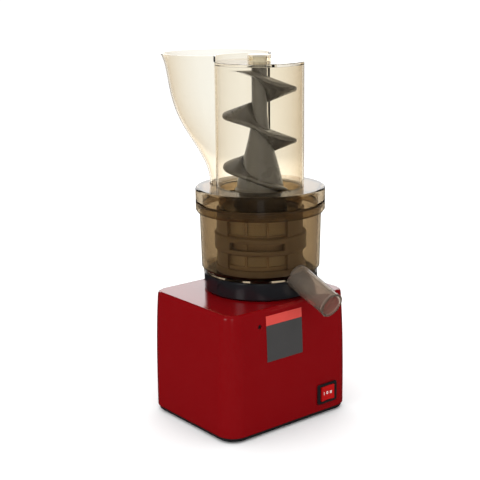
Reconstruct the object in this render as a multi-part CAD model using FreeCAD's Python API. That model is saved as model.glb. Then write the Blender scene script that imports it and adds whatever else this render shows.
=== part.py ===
import FreeCAD, Part
import math
import os

# Cold press juicer, in millimetres. +Z is up and -Y is the front, where the juice spout points.
# The parts are drawn about the drum's axis and then moved, so that the origin lies in the plane of
# the feet, below the middle of the object's outline on the plan.

# Base: outline on the plan, heights and walls
BASE_WIDTH = 215.0
BASE_DEPTH = 180.0
BASE_CENTRE_X = -22.5
BASE_CENTRE_Y = -2.0
BASE_CORNER = 25.0
BASE_TOP_Z = 172.5
BASE_WALL = 3.0
BASE_TAPER = 4.5
BASE_TAPER_POWER = 3
BASE_EDGE_ROUND = 5.0
HOUSING_BOTTOM_Z = 8.0
BASE_SECTIONS = 5

# Base plate and rubber feet
PLATE_BOTTOM_Z = 3.0
PLATE_INSET = 2.5
PLATE_SLOT_LENGTH = 60.0
PLATE_SLOT_WIDTH = 4.0
PLATE_SLOT_COUNT = 6
PLATE_SLOT_PITCH = 9.0
FOOT_RADIUS = 11.0
FOOT_STEM_RADIUS = 4.0
FOOT_STEM_LENGTH = 2.5
FOOT_FROM_EDGE = 22.0
FOOT_EDGE_ROUND = 1.0

# Screws and the bosses that take them
SCREW_RADIUS = 2.0
SCREW_HEAD_RADIUS = 3.8
SCREW_HEAD_HEIGHT = 2.4
SCREW_RECESS = 0.4
BOSS_RADIUS = 5.0
BASE_SCREW_LENGTH = 16.0
BASE_SCREW_FROM_EDGE = 11.5
BASE_BOSS_HEIGHT = 22.0
FRONT_SCREW_X = -76.5
FRONT_SCREW_Z = 151.4
FRONT_WELL_RADIUS = 3.0
FRONT_WELL_DEPTH = 4.0
FRONT_SCREW_LENGTH = 10.0
FRONT_BOSS_DEPTH = 14.0

# Rocker switch on the front
SWITCH_X = 39.3
SWITCH_Z = 32.3
SWITCH_WIDTH = 34.5
SWITCH_HEIGHT = 28.0
SWITCH_BEZEL_PROUD = 2.2
SWITCH_BEZEL_ROUND = 2.5
SWITCH_BODY_WIDTH = 28.5
SWITCH_BODY_HEIGHT = 23.0
SWITCH_BODY_DEPTH = 24.0
SWITCH_CAVITY_WIDTH = 26.0
SWITCH_CAVITY_HEIGHT = 21.5
SWITCH_CAVITY_DEPTH = 9.0
ROCKER_CLEARANCE = 0.4
ROCKER_SWING_ROOM = 1.4
PANEL_GAP = 0.1
ROCKER_PROUD = 3.6
ROCKER_DISH = 2.0
ROCKER_PIVOT_DEPTH = 3.0
ROCKER_PIN_RADIUS = 1.6
ROCKER_PIN_LENGTH = 0.9
PIN_CLEARANCE = 0.05
BLADE_WIDTH = 4.8
BLADE_THICKNESS = 0.8
BLADE_LENGTH = 9.0
BLADE_PITCH = 9.0

# Mains inlet and air slots at the back
INLET_X = -84.0
INLET_Z = 36.0
INLET_WIDTH = 31.0
INLET_HEIGHT = 24.0
INLET_FLANGE_PROUD = 2.0
INLET_FLANGE_EDGE = 4.0
INLET_BODY_DEPTH = 26.0
INLET_SOCKET_WIDTH = 24.5
INLET_SOCKET_HEIGHT = 16.5
INLET_SOCKET_DEPTH = 17.0
INLET_PIN_PITCH = 7.0
INLET_PIN_OFFSET = 2.0
INLET_PIN_WIDTH = 4.0
INLET_PIN_THICKNESS = 2.0
INLET_PIN_LENGTH = 13.0
VENT_COUNT = 9
VENT_PITCH = 8.0
VENT_WIDTH = 3.5
VENT_HEIGHT = 34.0
VENT_X = 15.0
VENT_Z = 28.0

# Motor: stator, rotor, fan and end brackets
MOTOR_RADIUS = 46.0
ROTOR_RADIUS = 27.0
ROTOR_GAP = 0.6
STATOR_BOTTOM_Z = 46.0
STATOR_HEIGHT = 40.0
STATOR_SLOTS = 12
STATOR_SLOT_DEPTH = 11.0
STATOR_SLOT_WIDTH = 7.0
WINDING_OVERHANG = 8.0
WINDING_CLEARANCE = 0.3
BRACKET_THICKNESS = 3.0
BRACKET_GAP = 3.0
MOTOR_BOLT_RADIUS = 2.0
MOTOR_BOLT_CIRCLE = 50.0
MOTOR_SHAFT_RADIUS = 5.0
FAN_RADIUS = 38.0
FAN_HUB_RADIUS = 10.0
FAN_HEIGHT = 11.0
FAN_BLADES = 9
FAN_BLADE_THICKNESS = 1.6
FAN_DISC_THICKNESS = 1.6
FAN_GAP = 3.0
BEARING_WALL = 5.0
BEARING_HEIGHT = 7.0
SHAFT_FIT = 0.05

# Gear train in the gearbox
PRESSURE_ANGLE = 25.0
BACKLASH = 0.12
TOOTH_DEDENDUM = 1.25
FIRST_MODULE = 1.0
SECOND_MODULE = 1.25
PINION_TEETH = 12
WHEEL_TEETH = 54
FIRST_GEAR_HEIGHT = 10.0
SECOND_GEAR_HEIGHT = 12.0
LAYSHAFT_RADIUS = 4.0
GEAR_GAP = 4.0
CASE_WALL = 3.0
CASE_GAP = 2.5
CASE_SCREW_LENGTH = 10.0
COVER_NECK_RADIUS = 20.0
COVER_FLANGE_RADIUS = 44.0
COVER_FLANGE_HEIGHT = 8.0
COLLAR_SCREW_CIRCLE = 36.0
COLLAR_SCREW_LENGTH = 13.0

# Collar that carries the drum on top of the base
COLLAR_RADIUS = 78.0
COLLAR_WALL = 7.0
COLLAR_FLOOR = 4.0
COLLAR_FOOT_CHAMFER = 2.5
COLLAR_HEIGHT = 24.5
COLLAR_SHAFT_HOLE = 14.0
COLLAR_RIM_ROUND = 1.2
NOTCH_CLEARANCE = 1.2
DIMPLE_RADIUS = 7.0
DIMPLE_DEPTH = 1.2
DIMPLE_ANGLE = 187.0

# Drive shaft
DRIVE_RADIUS = 8.2
DRIVE_HEX_FLATS = 14.0
DRIVE_HEX_LENGTH = 38.0
DRIVE_TOP_Z = 245.0
DRIVE_TIP_CHAMFER = 1.5
HEX_CLEARANCE = 0.15
DRIVE_END_GAP = 0.3

# Juice drum
DRUM_GAP = 0.3
DRUM_FOOT_RADIUS = 74.5
DRUM_LOW_RADIUS = 81.0
DRUM_HIGH_RADIUS = 83.0
DRUM_CHAMFER_HEIGHT = 8.0
DRUM_RIM_Z = 288.5
DRUM_RIM_HEIGHT = 3.0
DRUM_RIM_RADIUS = 85.3
DRUM_WALL = 3.0
DRUM_SPIGOT_HEIGHT = 8.0
DRUM_SPIGOT_WALL = 3.0
DRUM_SPIGOT_GAP = 0.4
DRUM_SLEEVE_RADIUS = 14.0
DRUM_SLEEVE_TOP = 8.0
SEAL_WALL = 2.5
SEAL_GAP = 0.3
DRUM_LUGS = 4
LUG_WIDTH = 16.0
LUG_DEPTH = 1.6
LUG_HEIGHT = 3.0

# Juice spout, pointing forward and down
SPOUT_ANGLE = 20.8
SPOUT_AXIS_Z = 200.4
SPOUT_END_Y = -142.0
SPOUT_END_RADIUS = 16.5
SPOUT_ROOT_RADIUS = 17.8
SPOUT_ROOT_Y = -64.0
SPOUT_BORE = 13.6
SPOUT_LIP = 0.7
SPOUT_LIP_LENGTH = 2.5
SPOUT_MOUTH_BORE = 14.4
SPOUT_MOUTH_DEPTH = 12.0

# Pulp chute, pointing back and down
CHUTE_WIDTH = 30.0
CHUTE_HEIGHT = 19.0
CHUTE_WALL = 2.5
CHUTE_ANGLE = 8.0
CHUTE_START_Y = 28.0
CHUTE_END_Y = 112.0
CHUTE_CORNER = 5.0
PULP_HOLE_RADIUS = 8.5
PULP_HOLE_Y = 40.0
PULP_NECK_WALL = 2.0
PULP_NECK_GAP = 0.3

# Brush drive inside the drum: sun on the auger, two idlers on posts, ring in the brush
BRUSH_MODULE = 2.0
SUN_TEETH = 24
IDLER_TEETH = 15
RING_TEETH = 54
BRUSH_GEAR_HEIGHT = 6.0
GEAR_FLOOR_GAP = 0.8
IDLER_POST_RADIUS = 4.0

# Strainer
STRAINER_RADIUS = 56.0
STRAINER_WALL = 3.4
MESH_WALL = 0.8
STRAINER_FLOOR_HEIGHT = 3.5
STRAINER_TOP_Z = 284.0
STRAINER_RING_HEIGHT = 5.0
LOWER_MESH_TOP_Z = 230.5
UPPER_MESH_BOTTOM_Z = 256.5
STRAINER_BAND_HEIGHT = 3.0
STRAINER_RIBS = 12
STRAINER_RIB_WIDTH = 3.0
MESH_SLOTS = 36
MESH_SLOT_WIDTH = 1.4
FLOOR_HOLE_CLEARANCE = 2.0
LEG_WIDTH = 12.0
LEG_INNER_RADIUS = 32.0
LEG_OUTER_RADIUS = 46.0

# Brush frame and wipers
BRUSH_INNER_RADIUS = 57.0
BRUSH_RADIUS = 60.0
BRUSH_RING_RADIUS = 62.0
BRUSH_BAND_RADIUS = 63.0
BRUSH_BAND_BOTTOM_Z = 229.5
BRUSH_BAND_TOP_Z = 253.6
BRUSH_BAND_CHAMFER = 2.0
BRUSH_TOP_Z = 285.5
BRUSH_RING_HEIGHT = 6.0
BRUSH_ARMS = 3
BRUSH_ARM_ANGLE = 36.0
BRUSH_ARM_TURN = 45.0
WIPER_WIDTH = 4.0
WIPER_GAP = 0.3
WIPER_BACK = 2.2
WIPER_END_GAP = 6.0

# Auger: core outline, blade and pressing screw
AUGER_SHAFT_RADIUS = 10.5
AUGER_SHAFT_TOP_Z = 476.0
AUGER_PIN_RADIUS = 5.0
AUGER_PIN_TOP_Z = 486.5
AUGER_FLARE = ((422.0, 10.5), (390.0, 13.2), (360.6, 20.2), (325.0, 29.5), (313.0, 32.0))
AUGER_SHOULDER_Z = 310.0
AUGER_SHOULDER_RADIUS = 34.4
AUGER_BARREL_RADIUS = 44.0
AUGER_NECK_RADIUS = 25.0
AUGER_RUNNING_GAP = 0.7
BLADE_RADIUS = 50.0
BLADE_PITCH_Z = 69.0
BLADE_TOP_Z = 472.0
BLADE_FULL_Z = 448.0
BLADE_BOTTOM_Z = 300.0
BLADE_TIP_Z = 444.0
BLADE_TIP_ANGLE = -38.7
BLADE_ROOT_THICKNESS = 5.0
BLADE_TIP_THICKNESS = 2.2
SCREW_PITCH_Z = 34.0
SCREW_TOP_Z = 303.0
SCREW_TOOTH_ROOT = 8.0
SCREW_TOOTH_TIP = 3.0
SCREW_TIP_GAP = 1.1

# Lid, feed tube, cap and hopper
LID_TOP_Z = 314.5
LID_RADIUS = 88.0
LID_PLATE = 3.5
LID_SKIRT_BOTTOM_Z = 281.5
LID_SKIRT_CHAMFER = 3.0
LID_EDGE_ROUND = 3.0
LID_RIM_GAP = 0.4
LID_NECK_WALL = 2.5
LID_NECK_GAP = 0.5
GASKET_HEIGHT = 2.6
GASKET_WIDTH = 3.0
TUBE_RADIUS = 59.45
TUBE_WALL = 2.5
TUBE_TOP_Z = 476.9
CAP_THICKNESS = 4.0
CAP_BOSS_RADIUS = 15.5
CAP_BOSS_TOP_Z = 490.0
CAP_BOSS_WALL = 2.0
BUSH_WALL = 3.5
HOPPER_ATTACH_ANGLE = 54.4
HOPPER_WALL = 2.5
HOPPER_RIM_Z = 488.6
HOPPER_LIP = 1.2
WINDOW_ABOVE_LID = 2.0
# Height of each level of the hopper and how far behind the axis its back wall stands there
HOPPER_BACKS = ((314.5, 81.5), (331.0, 84.0), (352.0, 97.5), (385.0, 127.0), (430.0, 152.3), (488.6, 170.4))

Vector = FreeCAD.Vector
UP = Vector(0, 0, 1)


def cylinder(radius, bottom, top, x=0.0, y=0.0):
    return Part.makeCylinder(radius, top - bottom, Vector(x, y, bottom), UP)


def tube(outer, inner, bottom, top, x=0.0, y=0.0):
    return cylinder(outer, bottom, top, x, y).cut(cylinder(inner, bottom - 1, top + 1, x, y))


def block(x_range, y_range, z_range):
    size = [high - low for low, high in (x_range, y_range, z_range)]
    return Part.makeBox(*size, Vector(x_range[0], y_range[0], z_range[0]))


def centred_block(x, width, y_range, z, height):
    return block((x - width / 2, x + width / 2), y_range, (z - height / 2, z + height / 2))


def revolve(points):
    """Solid of revolution about Z from (radius, height) corners."""
    wire = Part.makePolygon([Vector(r, 0, z) for r, z in list(points) + [points[0]]])
    return Part.Face(wire).revolve(Vector(0, 0, 0), UP, 360)


def polar(radius, degrees, z=0.0):
    angle = math.radians(degrees)
    return Vector(radius * math.cos(angle), radius * math.sin(angle), z)


def turned(shape, degrees, x=0.0, y=0.0):
    copy = shape.copy()
    copy.rotate(Vector(x, y, 0), UP, degrees)
    return copy


def moved(shape, x=0.0, y=0.0, z=0.0):
    copy = shape.copy()
    copy.translate(Vector(x, y, z))
    return copy


def fuse_all(shapes):
    body = shapes[0].multiFuse(shapes[1:]) if len(shapes) > 1 else shapes[0]
    return body.removeSplitter()


def cut_all(body, shapes):
    return body.cut(Part.makeCompound(shapes))


def rounded_wire(width, depth, radius, z, x=0.0, y=0.0):
    """Closed outline of a rectangle with round corners, on the plan."""
    edges = []
    half_w, half_d = width / 2 - radius, depth / 2 - radius
    corners = [(half_w, half_d, 0), (-half_w, half_d, 90), (-half_w, -half_d, 180), (half_w, -half_d, 270)]
    ends = []
    for cx, cy, start in corners:
        centre = Vector(x + cx, y + cy, z)
        points = [centre + polar(radius, start + step) for step in (0, 45, 90)]
        edges.append(Part.Arc(*points).toShape())
        ends.append((points[0], points[2]))
    for index, (_, last) in enumerate(ends):
        following = ends[(index + 1) % len(ends)][0]
        edges.append(Part.makeLine(last, following))
    return Part.Wire(Part.__sortEdges__(edges))


def rounded_block(width, depth, radius, bottom, top, x=0.0, y=0.0):
    face = Part.Face(rounded_wire(width, depth, radius, bottom, x, y))
    return face.extrude(Vector(0, 0, top - bottom))


def sector(outer, inner, bottom, top, middle, spread):
    """Part of a tube between two angles, middle and spread in degrees."""
    start = middle - spread / 2
    points = [polar(inner, start, bottom), polar(outer, start, bottom)]
    outer_arc = Part.Arc(points[1], polar(outer, middle, bottom), polar(outer, start + spread, bottom)).toShape()
    inner_arc = Part.Arc(polar(inner, start + spread, bottom), polar(inner, middle, bottom), points[0]).toShape()
    sides = [Part.makeLine(points[0], points[1]),
             Part.makeLine(polar(outer, start + spread, bottom), polar(inner, start + spread, bottom))]
    wire = Part.Wire([sides[0], outer_arc, sides[1], inner_arc])
    return Part.Face(wire).extrude(Vector(0, 0, top - bottom))


def involute(angle):
    return math.tan(angle) - angle


def tooth_outline(module, teeth, low, high, thin, phase):
    """Closed outline of teeth with involute flanks between two radii; thin narrows each tooth."""
    pressure = math.radians(PRESSURE_ANGLE)
    pitch_radius = module * teeth / 2
    base_radius = pitch_radius * math.cos(pressure)
    half_at_pitch = math.pi / (2 * teeth) - thin / (2 * pitch_radius)

    def half_angle(radius):
        local = math.acos(min(1.0, base_radius / max(radius, base_radius)))
        return half_at_pitch + involute(pressure) - involute(local)

    radii = (low, pitch_radius, high)
    points = []
    for tooth in range(teeth):
        middle = math.radians(phase) + 2 * math.pi * tooth / teeth
        flank = [(radius, half_angle(radius)) for radius in radii]
        points += [(radius, middle - half) for radius, half in flank]
        points += [(radius, middle + half) for radius, half in reversed(flank)]
    corners = [Vector(r * math.cos(a), r * math.sin(a), 0) for r, a in points]
    return Part.makePolygon(corners + [corners[0]])


def spur_gear(module, teeth, bottom, height, phase, x=0.0, y=0.0):
    pitch_radius = module * teeth / 2
    wire = tooth_outline(module, teeth, pitch_radius - TOOTH_DEDENDUM * module, pitch_radius + module,
                         BACKLASH * module, phase)
    return moved(Part.Face(wire).extrude(Vector(0, 0, height)), x, y, bottom)


def ring_gear_space(module, teeth, bottom, height, phase):
    """What a ring gear with inner teeth leaves free; phase is the middle of a space."""
    pitch_radius = module * teeth / 2
    wire = tooth_outline(module, teeth, pitch_radius - module, pitch_radius + TOOTH_DEDENDUM * module,
                         -BACKLASH * module, phase)
    return moved(Part.Face(wire).extrude(Vector(0, 0, height)), 0, 0, bottom)


def hexagon(flats, bottom, top):
    corners = [polar(flats / math.sqrt(3), 60 * side, bottom) for side in range(6)]
    return Part.Face(Part.makePolygon(corners + [corners[0]])).extrude(Vector(0, 0, top - bottom))


def screw(length, head_radius=SCREW_HEAD_RADIUS):
    """Screw along +Z with its head below the origin, and a cross recess in the head."""
    head = cylinder(head_radius, -SCREW_HEAD_HEIGHT, 0)
    body = head.fuse(cylinder(SCREW_RADIUS, 0, length)).removeSplitter()
    arm, width, depth = head_radius, SCREW_RADIUS / 2, SCREW_HEAD_HEIGHT / 2
    span = (-SCREW_HEAD_HEIGHT, -SCREW_HEAD_HEIGHT + depth)
    cross = [block((-arm / 2, arm / 2), (-width / 2, width / 2), span),
             block((-width / 2, width / 2), (-arm / 2, arm / 2), span)]
    return cut_all(body, cross)


def screw_hole(length, head_radius=SCREW_HEAD_RADIUS):
    """Room for a screw made by screw(): shank and head."""
    return cylinder(head_radius + SCREW_RECESS, -SCREW_HEAD_HEIGHT - 50, 0).fuse(cylinder(SCREW_RADIUS, -1, length))


def base_inset(z):
    share = (z - HOUSING_BOTTOM_Z) / (BASE_TOP_Z - HOUSING_BOTTOM_Z)
    return BASE_TAPER * max(share, 0.0) ** BASE_TAPER_POWER


def base_loft(offset, bottom, top):
    """The base's tapered block with its walls moved inwards by offset."""
    wires = []
    for index in range(BASE_SECTIONS):
        z = bottom + (top - bottom) * index / (BASE_SECTIONS - 1)
        inset = base_inset(z) + offset
        wires.append(rounded_wire(BASE_WIDTH - 2 * inset, BASE_DEPTH - 2 * inset, BASE_CORNER - inset, z,
                                  BASE_CENTRE_X, BASE_CENTRE_Y))
    return Part.makeLoft(wires, True, False)


def front_y(z):
    return BASE_CENTRE_Y - BASE_DEPTH / 2 + base_inset(z)


def back_y(z):
    return BASE_CENTRE_Y + BASE_DEPTH / 2 - base_inset(z)


def base_corners(from_edge):
    """Four points on the plan, from_edge inside the base's sides."""
    half_w, half_d = BASE_WIDTH / 2 - from_edge, BASE_DEPTH / 2 - from_edge
    return [(BASE_CENTRE_X + sx * half_w, BASE_CENTRE_Y + sy * half_d) for sx in (-1, 1) for sy in (-1, 1)]


# Heights that follow from the driving sizes
COLLAR_TOP_Z = BASE_TOP_Z + COLLAR_HEIGHT
DRUM_FOOT_Z = COLLAR_TOP_Z + DRUM_GAP
DRUM_FLOOR_Z = DRUM_FOOT_Z + DRUM_WALL
BRUSH_GEAR_Z = DRUM_FLOOR_Z + GEAR_FLOOR_GAP
SUN_TOP_Z = BRUSH_GEAR_Z + BRUSH_GEAR_HEIGHT + GEAR_FLOOR_GAP / 2
STRAINER_FLOOR_Z = BRUSH_GEAR_Z + BRUSH_GEAR_HEIGHT + GEAR_FLOOR_GAP
AUGER_BOTTOM_Z = STRAINER_FLOOR_Z + STRAINER_FLOOR_HEIGHT + AUGER_RUNNING_GAP
HOUSING_CEILING_Z = BASE_TOP_Z - BASE_WALL
IDLER_CENTRE = BRUSH_MODULE * (SUN_TEETH + IDLER_TEETH) / 2
FIRST_CENTRE = FIRST_MODULE * (PINION_TEETH + WHEEL_TEETH) / 2
SECOND_CENTRE = SECOND_MODULE * (PINION_TEETH + WHEEL_TEETH) / 2
LAYSHAFT_X = -SECOND_CENTRE
MOTOR_X = LAYSHAFT_X + FIRST_CENTRE
STATOR_TOP_Z = STATOR_BOTTOM_Z + STATOR_HEIGHT
UPPER_BRACKET_Z = STATOR_TOP_Z + WINDING_OVERHANG + BRACKET_GAP
LOWER_BRACKET_Z = STATOR_BOTTOM_Z - WINDING_OVERHANG - BRACKET_GAP - BRACKET_THICKNESS
FAN_TOP_Z = LOWER_BRACKET_Z - FAN_GAP
CASE_BOTTOM_Z = UPPER_BRACKET_Z + BRACKET_THICKNESS
FIRST_GEAR_Z = CASE_BOTTOM_Z + CASE_WALL + BEARING_HEIGHT - BEARING_WALL + 1.0
SECOND_GEAR_Z = FIRST_GEAR_Z + FIRST_GEAR_HEIGHT + GEAR_GAP
CASE_TOP_Z = SECOND_GEAR_Z + SECOND_GEAR_HEIGHT + CASE_GAP
COVER_TOP_Z = CASE_TOP_Z + CASE_WALL
FLANGE_BOTTOM_Z = HOUSING_CEILING_Z - COVER_FLANGE_HEIGHT
DRIVE_HEX_Z = DRIVE_TOP_Z - DRIVE_HEX_LENGTH
GASKET_Z = DRUM_RIM_Z + DRUM_RIM_HEIGHT
GASKET_INNER = DRUM_HIGH_RADIUS - DRUM_WALL + 1.0
SPOUT_TIP_Y = SPOUT_END_Y - (SPOUT_END_RADIUS + SPOUT_LIP) * math.sin(math.radians(SPOUT_ANGLE))
HOPPER_REAR_Y = HOPPER_BACKS[-1][1]
TO_ORIGIN = Vector(-BASE_CENTRE_X, -(SPOUT_TIP_Y + HOPPER_REAR_Y) / 2, 0)


# Base
def rubber_feet():
    feet = []
    for x, y in base_corners(FOOT_FROM_EDGE):
        pad = cylinder(FOOT_RADIUS, 0, PLATE_BOTTOM_Z, x, y)
        rim = [edge for edge in pad.Edges if abs(edge.BoundBox.ZMax) < 1e-6 and edge.Closed]
        pad = pad.makeFillet(FOOT_EDGE_ROUND, rim)
        feet.append(pad.fuse(cylinder(FOOT_STEM_RADIUS, PLATE_BOTTOM_Z, PLATE_BOTTOM_Z + FOOT_STEM_LENGTH, x, y)))
    return Part.makeCompound(feet)


def base_plate():
    plate = rounded_block(BASE_WIDTH - 2 * PLATE_INSET, BASE_DEPTH - 2 * PLATE_INSET, BASE_CORNER - PLATE_INSET,
                          PLATE_BOTTOM_Z, HOUSING_BOTTOM_Z, BASE_CENTRE_X, BASE_CENTRE_Y)
    cuts = [cylinder(FOOT_STEM_RADIUS, PLATE_BOTTOM_Z - 1, PLATE_BOTTOM_Z + FOOT_STEM_LENGTH, x, y)
            for x, y in base_corners(FOOT_FROM_EDGE)]
    for index in range(PLATE_SLOT_COUNT):
        x = MOTOR_X + (index - (PLATE_SLOT_COUNT - 1) / 2) * PLATE_SLOT_PITCH
        half = PLATE_SLOT_LENGTH / 2
        cuts.append(block((x - PLATE_SLOT_WIDTH / 2, x + PLATE_SLOT_WIDTH / 2), (-half, half),
                          (PLATE_BOTTOM_Z - 1, HOUSING_BOTTOM_Z + 1)))
    for x, y in base_corners(BASE_SCREW_FROM_EDGE):
        cuts.append(moved(screw_hole(BASE_SCREW_LENGTH), x, y, PLATE_BOTTOM_Z + SCREW_HEAD_HEIGHT))
    return cut_all(plate, cuts)


def base_screws():
    return Part.makeCompound([moved(screw(BASE_SCREW_LENGTH), x, y, PLATE_BOTTOM_Z + SCREW_HEAD_HEIGHT)
                              for x, y in base_corners(BASE_SCREW_FROM_EDGE)])


def lying(shape, x, y, z):
    """A shape drawn along +Z laid along +Y with its origin at the given point."""
    copy = shape.copy()
    copy.rotate(Vector(0, 0, 0), Vector(1, 0, 0), -90)
    copy.translate(Vector(x, y, z))
    return copy


def front_screw():
    return lying(screw(FRONT_SCREW_LENGTH, FRONT_WELL_RADIUS - SCREW_RECESS), FRONT_SCREW_X,
                 front_y(FRONT_SCREW_Z) + FRONT_WELL_DEPTH, FRONT_SCREW_Z)


def motor_housing():
    outer = base_loft(0, HOUSING_BOTTOM_Z, BASE_TOP_Z)
    top_edges = [edge for edge in outer.Edges if edge.BoundBox.ZMin > BASE_TOP_Z - 1e-3]
    outer = outer.makeFillet(BASE_EDGE_ROUND, top_edges)
    shell = outer.cut(base_loft(BASE_WALL, HOUSING_BOTTOM_Z, HOUSING_CEILING_Z))
    floor_z = HOUSING_BOTTOM_Z
    posts = [cylinder(BOSS_RADIUS, floor_z, floor_z + BASE_BOSS_HEIGHT, x, y)
             for x, y in base_corners(BASE_SCREW_FROM_EDGE)]
    front = front_y(FRONT_SCREW_Z)
    posts.append(lying(cylinder(BOSS_RADIUS, 0, FRONT_BOSS_DEPTH), FRONT_SCREW_X, front + BASE_WALL / 2,
                       FRONT_SCREW_Z))
    shell = fuse_all([shell] + [post.common(outer) for post in posts])
    cuts = [moved(screw_hole(BASE_SCREW_LENGTH), x, y, PLATE_BOTTOM_Z + SCREW_HEAD_HEIGHT)
            for x, y in base_corners(BASE_SCREW_FROM_EDGE)]
    well_end = FRONT_WELL_DEPTH
    cuts.append(lying(cylinder(FRONT_WELL_RADIUS, -FRONT_WELL_DEPTH, well_end)
                      .fuse(cylinder(SCREW_RADIUS, 0, well_end + FRONT_SCREW_LENGTH)),
                      FRONT_SCREW_X, front, FRONT_SCREW_Z))
    wall_span = (front_y(SWITCH_Z) - BASE_WALL, front_y(SWITCH_Z) + 2 * BASE_WALL)
    cuts.append(centred_block(SWITCH_X, SWITCH_BODY_WIDTH, wall_span, SWITCH_Z, SWITCH_BODY_HEIGHT))
    back_span = (back_y(INLET_Z) - 2 * BASE_WALL, back_y(INLET_Z) + BASE_WALL)
    cuts.append(centred_block(INLET_X, INLET_WIDTH, back_span, INLET_Z, INLET_HEIGHT))
    for index in range(VENT_COUNT):
        x = VENT_X + (index - (VENT_COUNT - 1) / 2) * VENT_PITCH
        cuts.append(centred_block(x, VENT_WIDTH, back_span, VENT_Z + VENT_HEIGHT / 2, VENT_HEIGHT))
    cuts.append(cylinder(COLLAR_SHAFT_HOLE, HOUSING_CEILING_Z - 1, BASE_TOP_Z + 1))
    for hole in collar_screw_shapes(cylinder(SCREW_RADIUS, -COLLAR_FLOOR - 20, COLLAR_SCREW_LENGTH)):
        cuts.append(hole)
    return cut_all(shell, cuts)


# Rocker switch
def switch_front():
    return front_y(SWITCH_Z - SWITCH_HEIGHT / 2) - PANEL_GAP


def switch_pin_half():
    return (SWITCH_CAVITY_HEIGHT + ROCKER_PIN_LENGTH) / 2


def switch_bezel():
    front = switch_front()
    frame = Part.Face(rounded_wire(SWITCH_WIDTH, SWITCH_HEIGHT, SWITCH_BEZEL_ROUND, 0))
    frame = frame.extrude(Vector(0, 0, SWITCH_BEZEL_PROUD))
    frame = lying(frame, SWITCH_X, front - SWITCH_BEZEL_PROUD, SWITCH_Z)
    body = centred_block(SWITCH_X, SWITCH_BODY_WIDTH, (front, front + SWITCH_BODY_DEPTH), SWITCH_Z,
                         SWITCH_BODY_HEIGHT)
    cavity = centred_block(SWITCH_X, SWITCH_CAVITY_WIDTH, (front - 10, front + SWITCH_CAVITY_DEPTH), SWITCH_Z,
                           SWITCH_CAVITY_HEIGHT)
    pin_half = switch_pin_half()
    pin_hole = cylinder(ROCKER_PIN_RADIUS + PIN_CLEARANCE, SWITCH_Z - pin_half, SWITCH_Z + pin_half, SWITCH_X,
                        front + ROCKER_PIVOT_DEPTH)
    return cut_all(fuse_all([frame, body]), [cavity, pin_hole])


def switch_rocker():
    front = switch_front()
    pivot_y = front + ROCKER_PIVOT_DEPTH
    half_w = SWITCH_CAVITY_WIDTH / 2 - ROCKER_SWING_ROOM
    half_h = SWITCH_CAVITY_HEIGHT / 2 - ROCKER_CLEARANCE
    face_y = front - ROCKER_PROUD
    tail = half_w * 0.62
    left = Vector(SWITCH_X - half_w, face_y, 0)
    dish = Vector(SWITCH_X, face_y + ROCKER_DISH, 0)
    right = Vector(SWITCH_X + half_w, face_y, 0)
    side_y = front + ROCKER_CLEARANCE
    outline = [Part.Arc(left, dish, right).toShape()]
    corners = [right, Vector(SWITCH_X + half_w, side_y, 0),
               Vector(SWITCH_X + tail, pivot_y + ROCKER_PIVOT_DEPTH, 0),
               Vector(SWITCH_X - tail, pivot_y + ROCKER_PIVOT_DEPTH, 0),
               Vector(SWITCH_X - half_w, side_y, 0), left]
    outline += [Part.makeLine(a, b) for a, b in zip(corners, corners[1:])]
    face = Part.Face(Part.Wire(outline))
    body = moved(face, 0, 0, SWITCH_Z - half_h).extrude(Vector(0, 0, 2 * half_h))
    pin_half = switch_pin_half() - PANEL_GAP
    pin = cylinder(ROCKER_PIN_RADIUS, SWITCH_Z - pin_half, SWITCH_Z + pin_half, SWITCH_X, pivot_y)
    return fuse_all([body, pin])


def switch_terminals():
    start = switch_front() + SWITCH_BODY_DEPTH
    return Part.makeCompound([centred_block(SWITCH_X + step * BLADE_PITCH, BLADE_THICKNESS,
                                            (start, start + BLADE_LENGTH), SWITCH_Z, BLADE_WIDTH)
                              for step in (-1, 0, 1)])


# Mains inlet
def inlet_back():
    return back_y(INLET_Z - INLET_HEIGHT / 2) + PANEL_GAP


def power_inlet():
    back = inlet_back()
    flange = centred_block(INLET_X, INLET_WIDTH + 2 * INLET_FLANGE_EDGE, (back, back + INLET_FLANGE_PROUD), INLET_Z,
                           INLET_HEIGHT + 2 * INLET_FLANGE_EDGE)
    body = centred_block(INLET_X, INLET_WIDTH, (back + INLET_FLANGE_PROUD - INLET_BODY_DEPTH, back), INLET_Z,
                         INLET_HEIGHT)
    socket_front = back + INLET_FLANGE_PROUD
    socket = centred_block(INLET_X, INLET_SOCKET_WIDTH, (socket_front - INLET_SOCKET_DEPTH, socket_front + 1),
                           INLET_Z, INLET_SOCKET_HEIGHT)
    return fuse_all([flange, body]).cut(socket)


def inlet_pins():
    start = inlet_back() + INLET_FLANGE_PROUD - INLET_SOCKET_DEPTH
    places = ((-INLET_PIN_PITCH, -INLET_PIN_OFFSET), (0.0, INLET_PIN_OFFSET), (INLET_PIN_PITCH, -INLET_PIN_OFFSET))
    return Part.makeCompound([centred_block(INLET_X + dx, INLET_PIN_THICKNESS, (start, start + INLET_PIN_LENGTH),
                                            INLET_Z + dz, INLET_PIN_WIDTH) for dx, dz in places])


# Motor
def stator_core():
    core = tube(MOTOR_RADIUS, ROTOR_RADIUS + ROTOR_GAP, STATOR_BOTTOM_Z, STATOR_TOP_Z)
    slot_inner = ROTOR_RADIUS + ROTOR_GAP + 2.5
    slot = block((slot_inner, slot_inner + STATOR_SLOT_DEPTH), (-STATOR_SLOT_WIDTH / 2, STATOR_SLOT_WIDTH / 2),
                 (STATOR_BOTTOM_Z - 1, STATOR_TOP_Z + 1))
    mouth = block((ROTOR_RADIUS, slot_inner + 1), (-1.2, 1.2), (STATOR_BOTTOM_Z - 1, STATOR_TOP_Z + 1))
    gap = slot.fuse(mouth)
    core = cut_all(core, [turned(gap, 360 * index / STATOR_SLOTS) for index in range(STATOR_SLOTS)])
    return moved(core, MOTOR_X)


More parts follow.
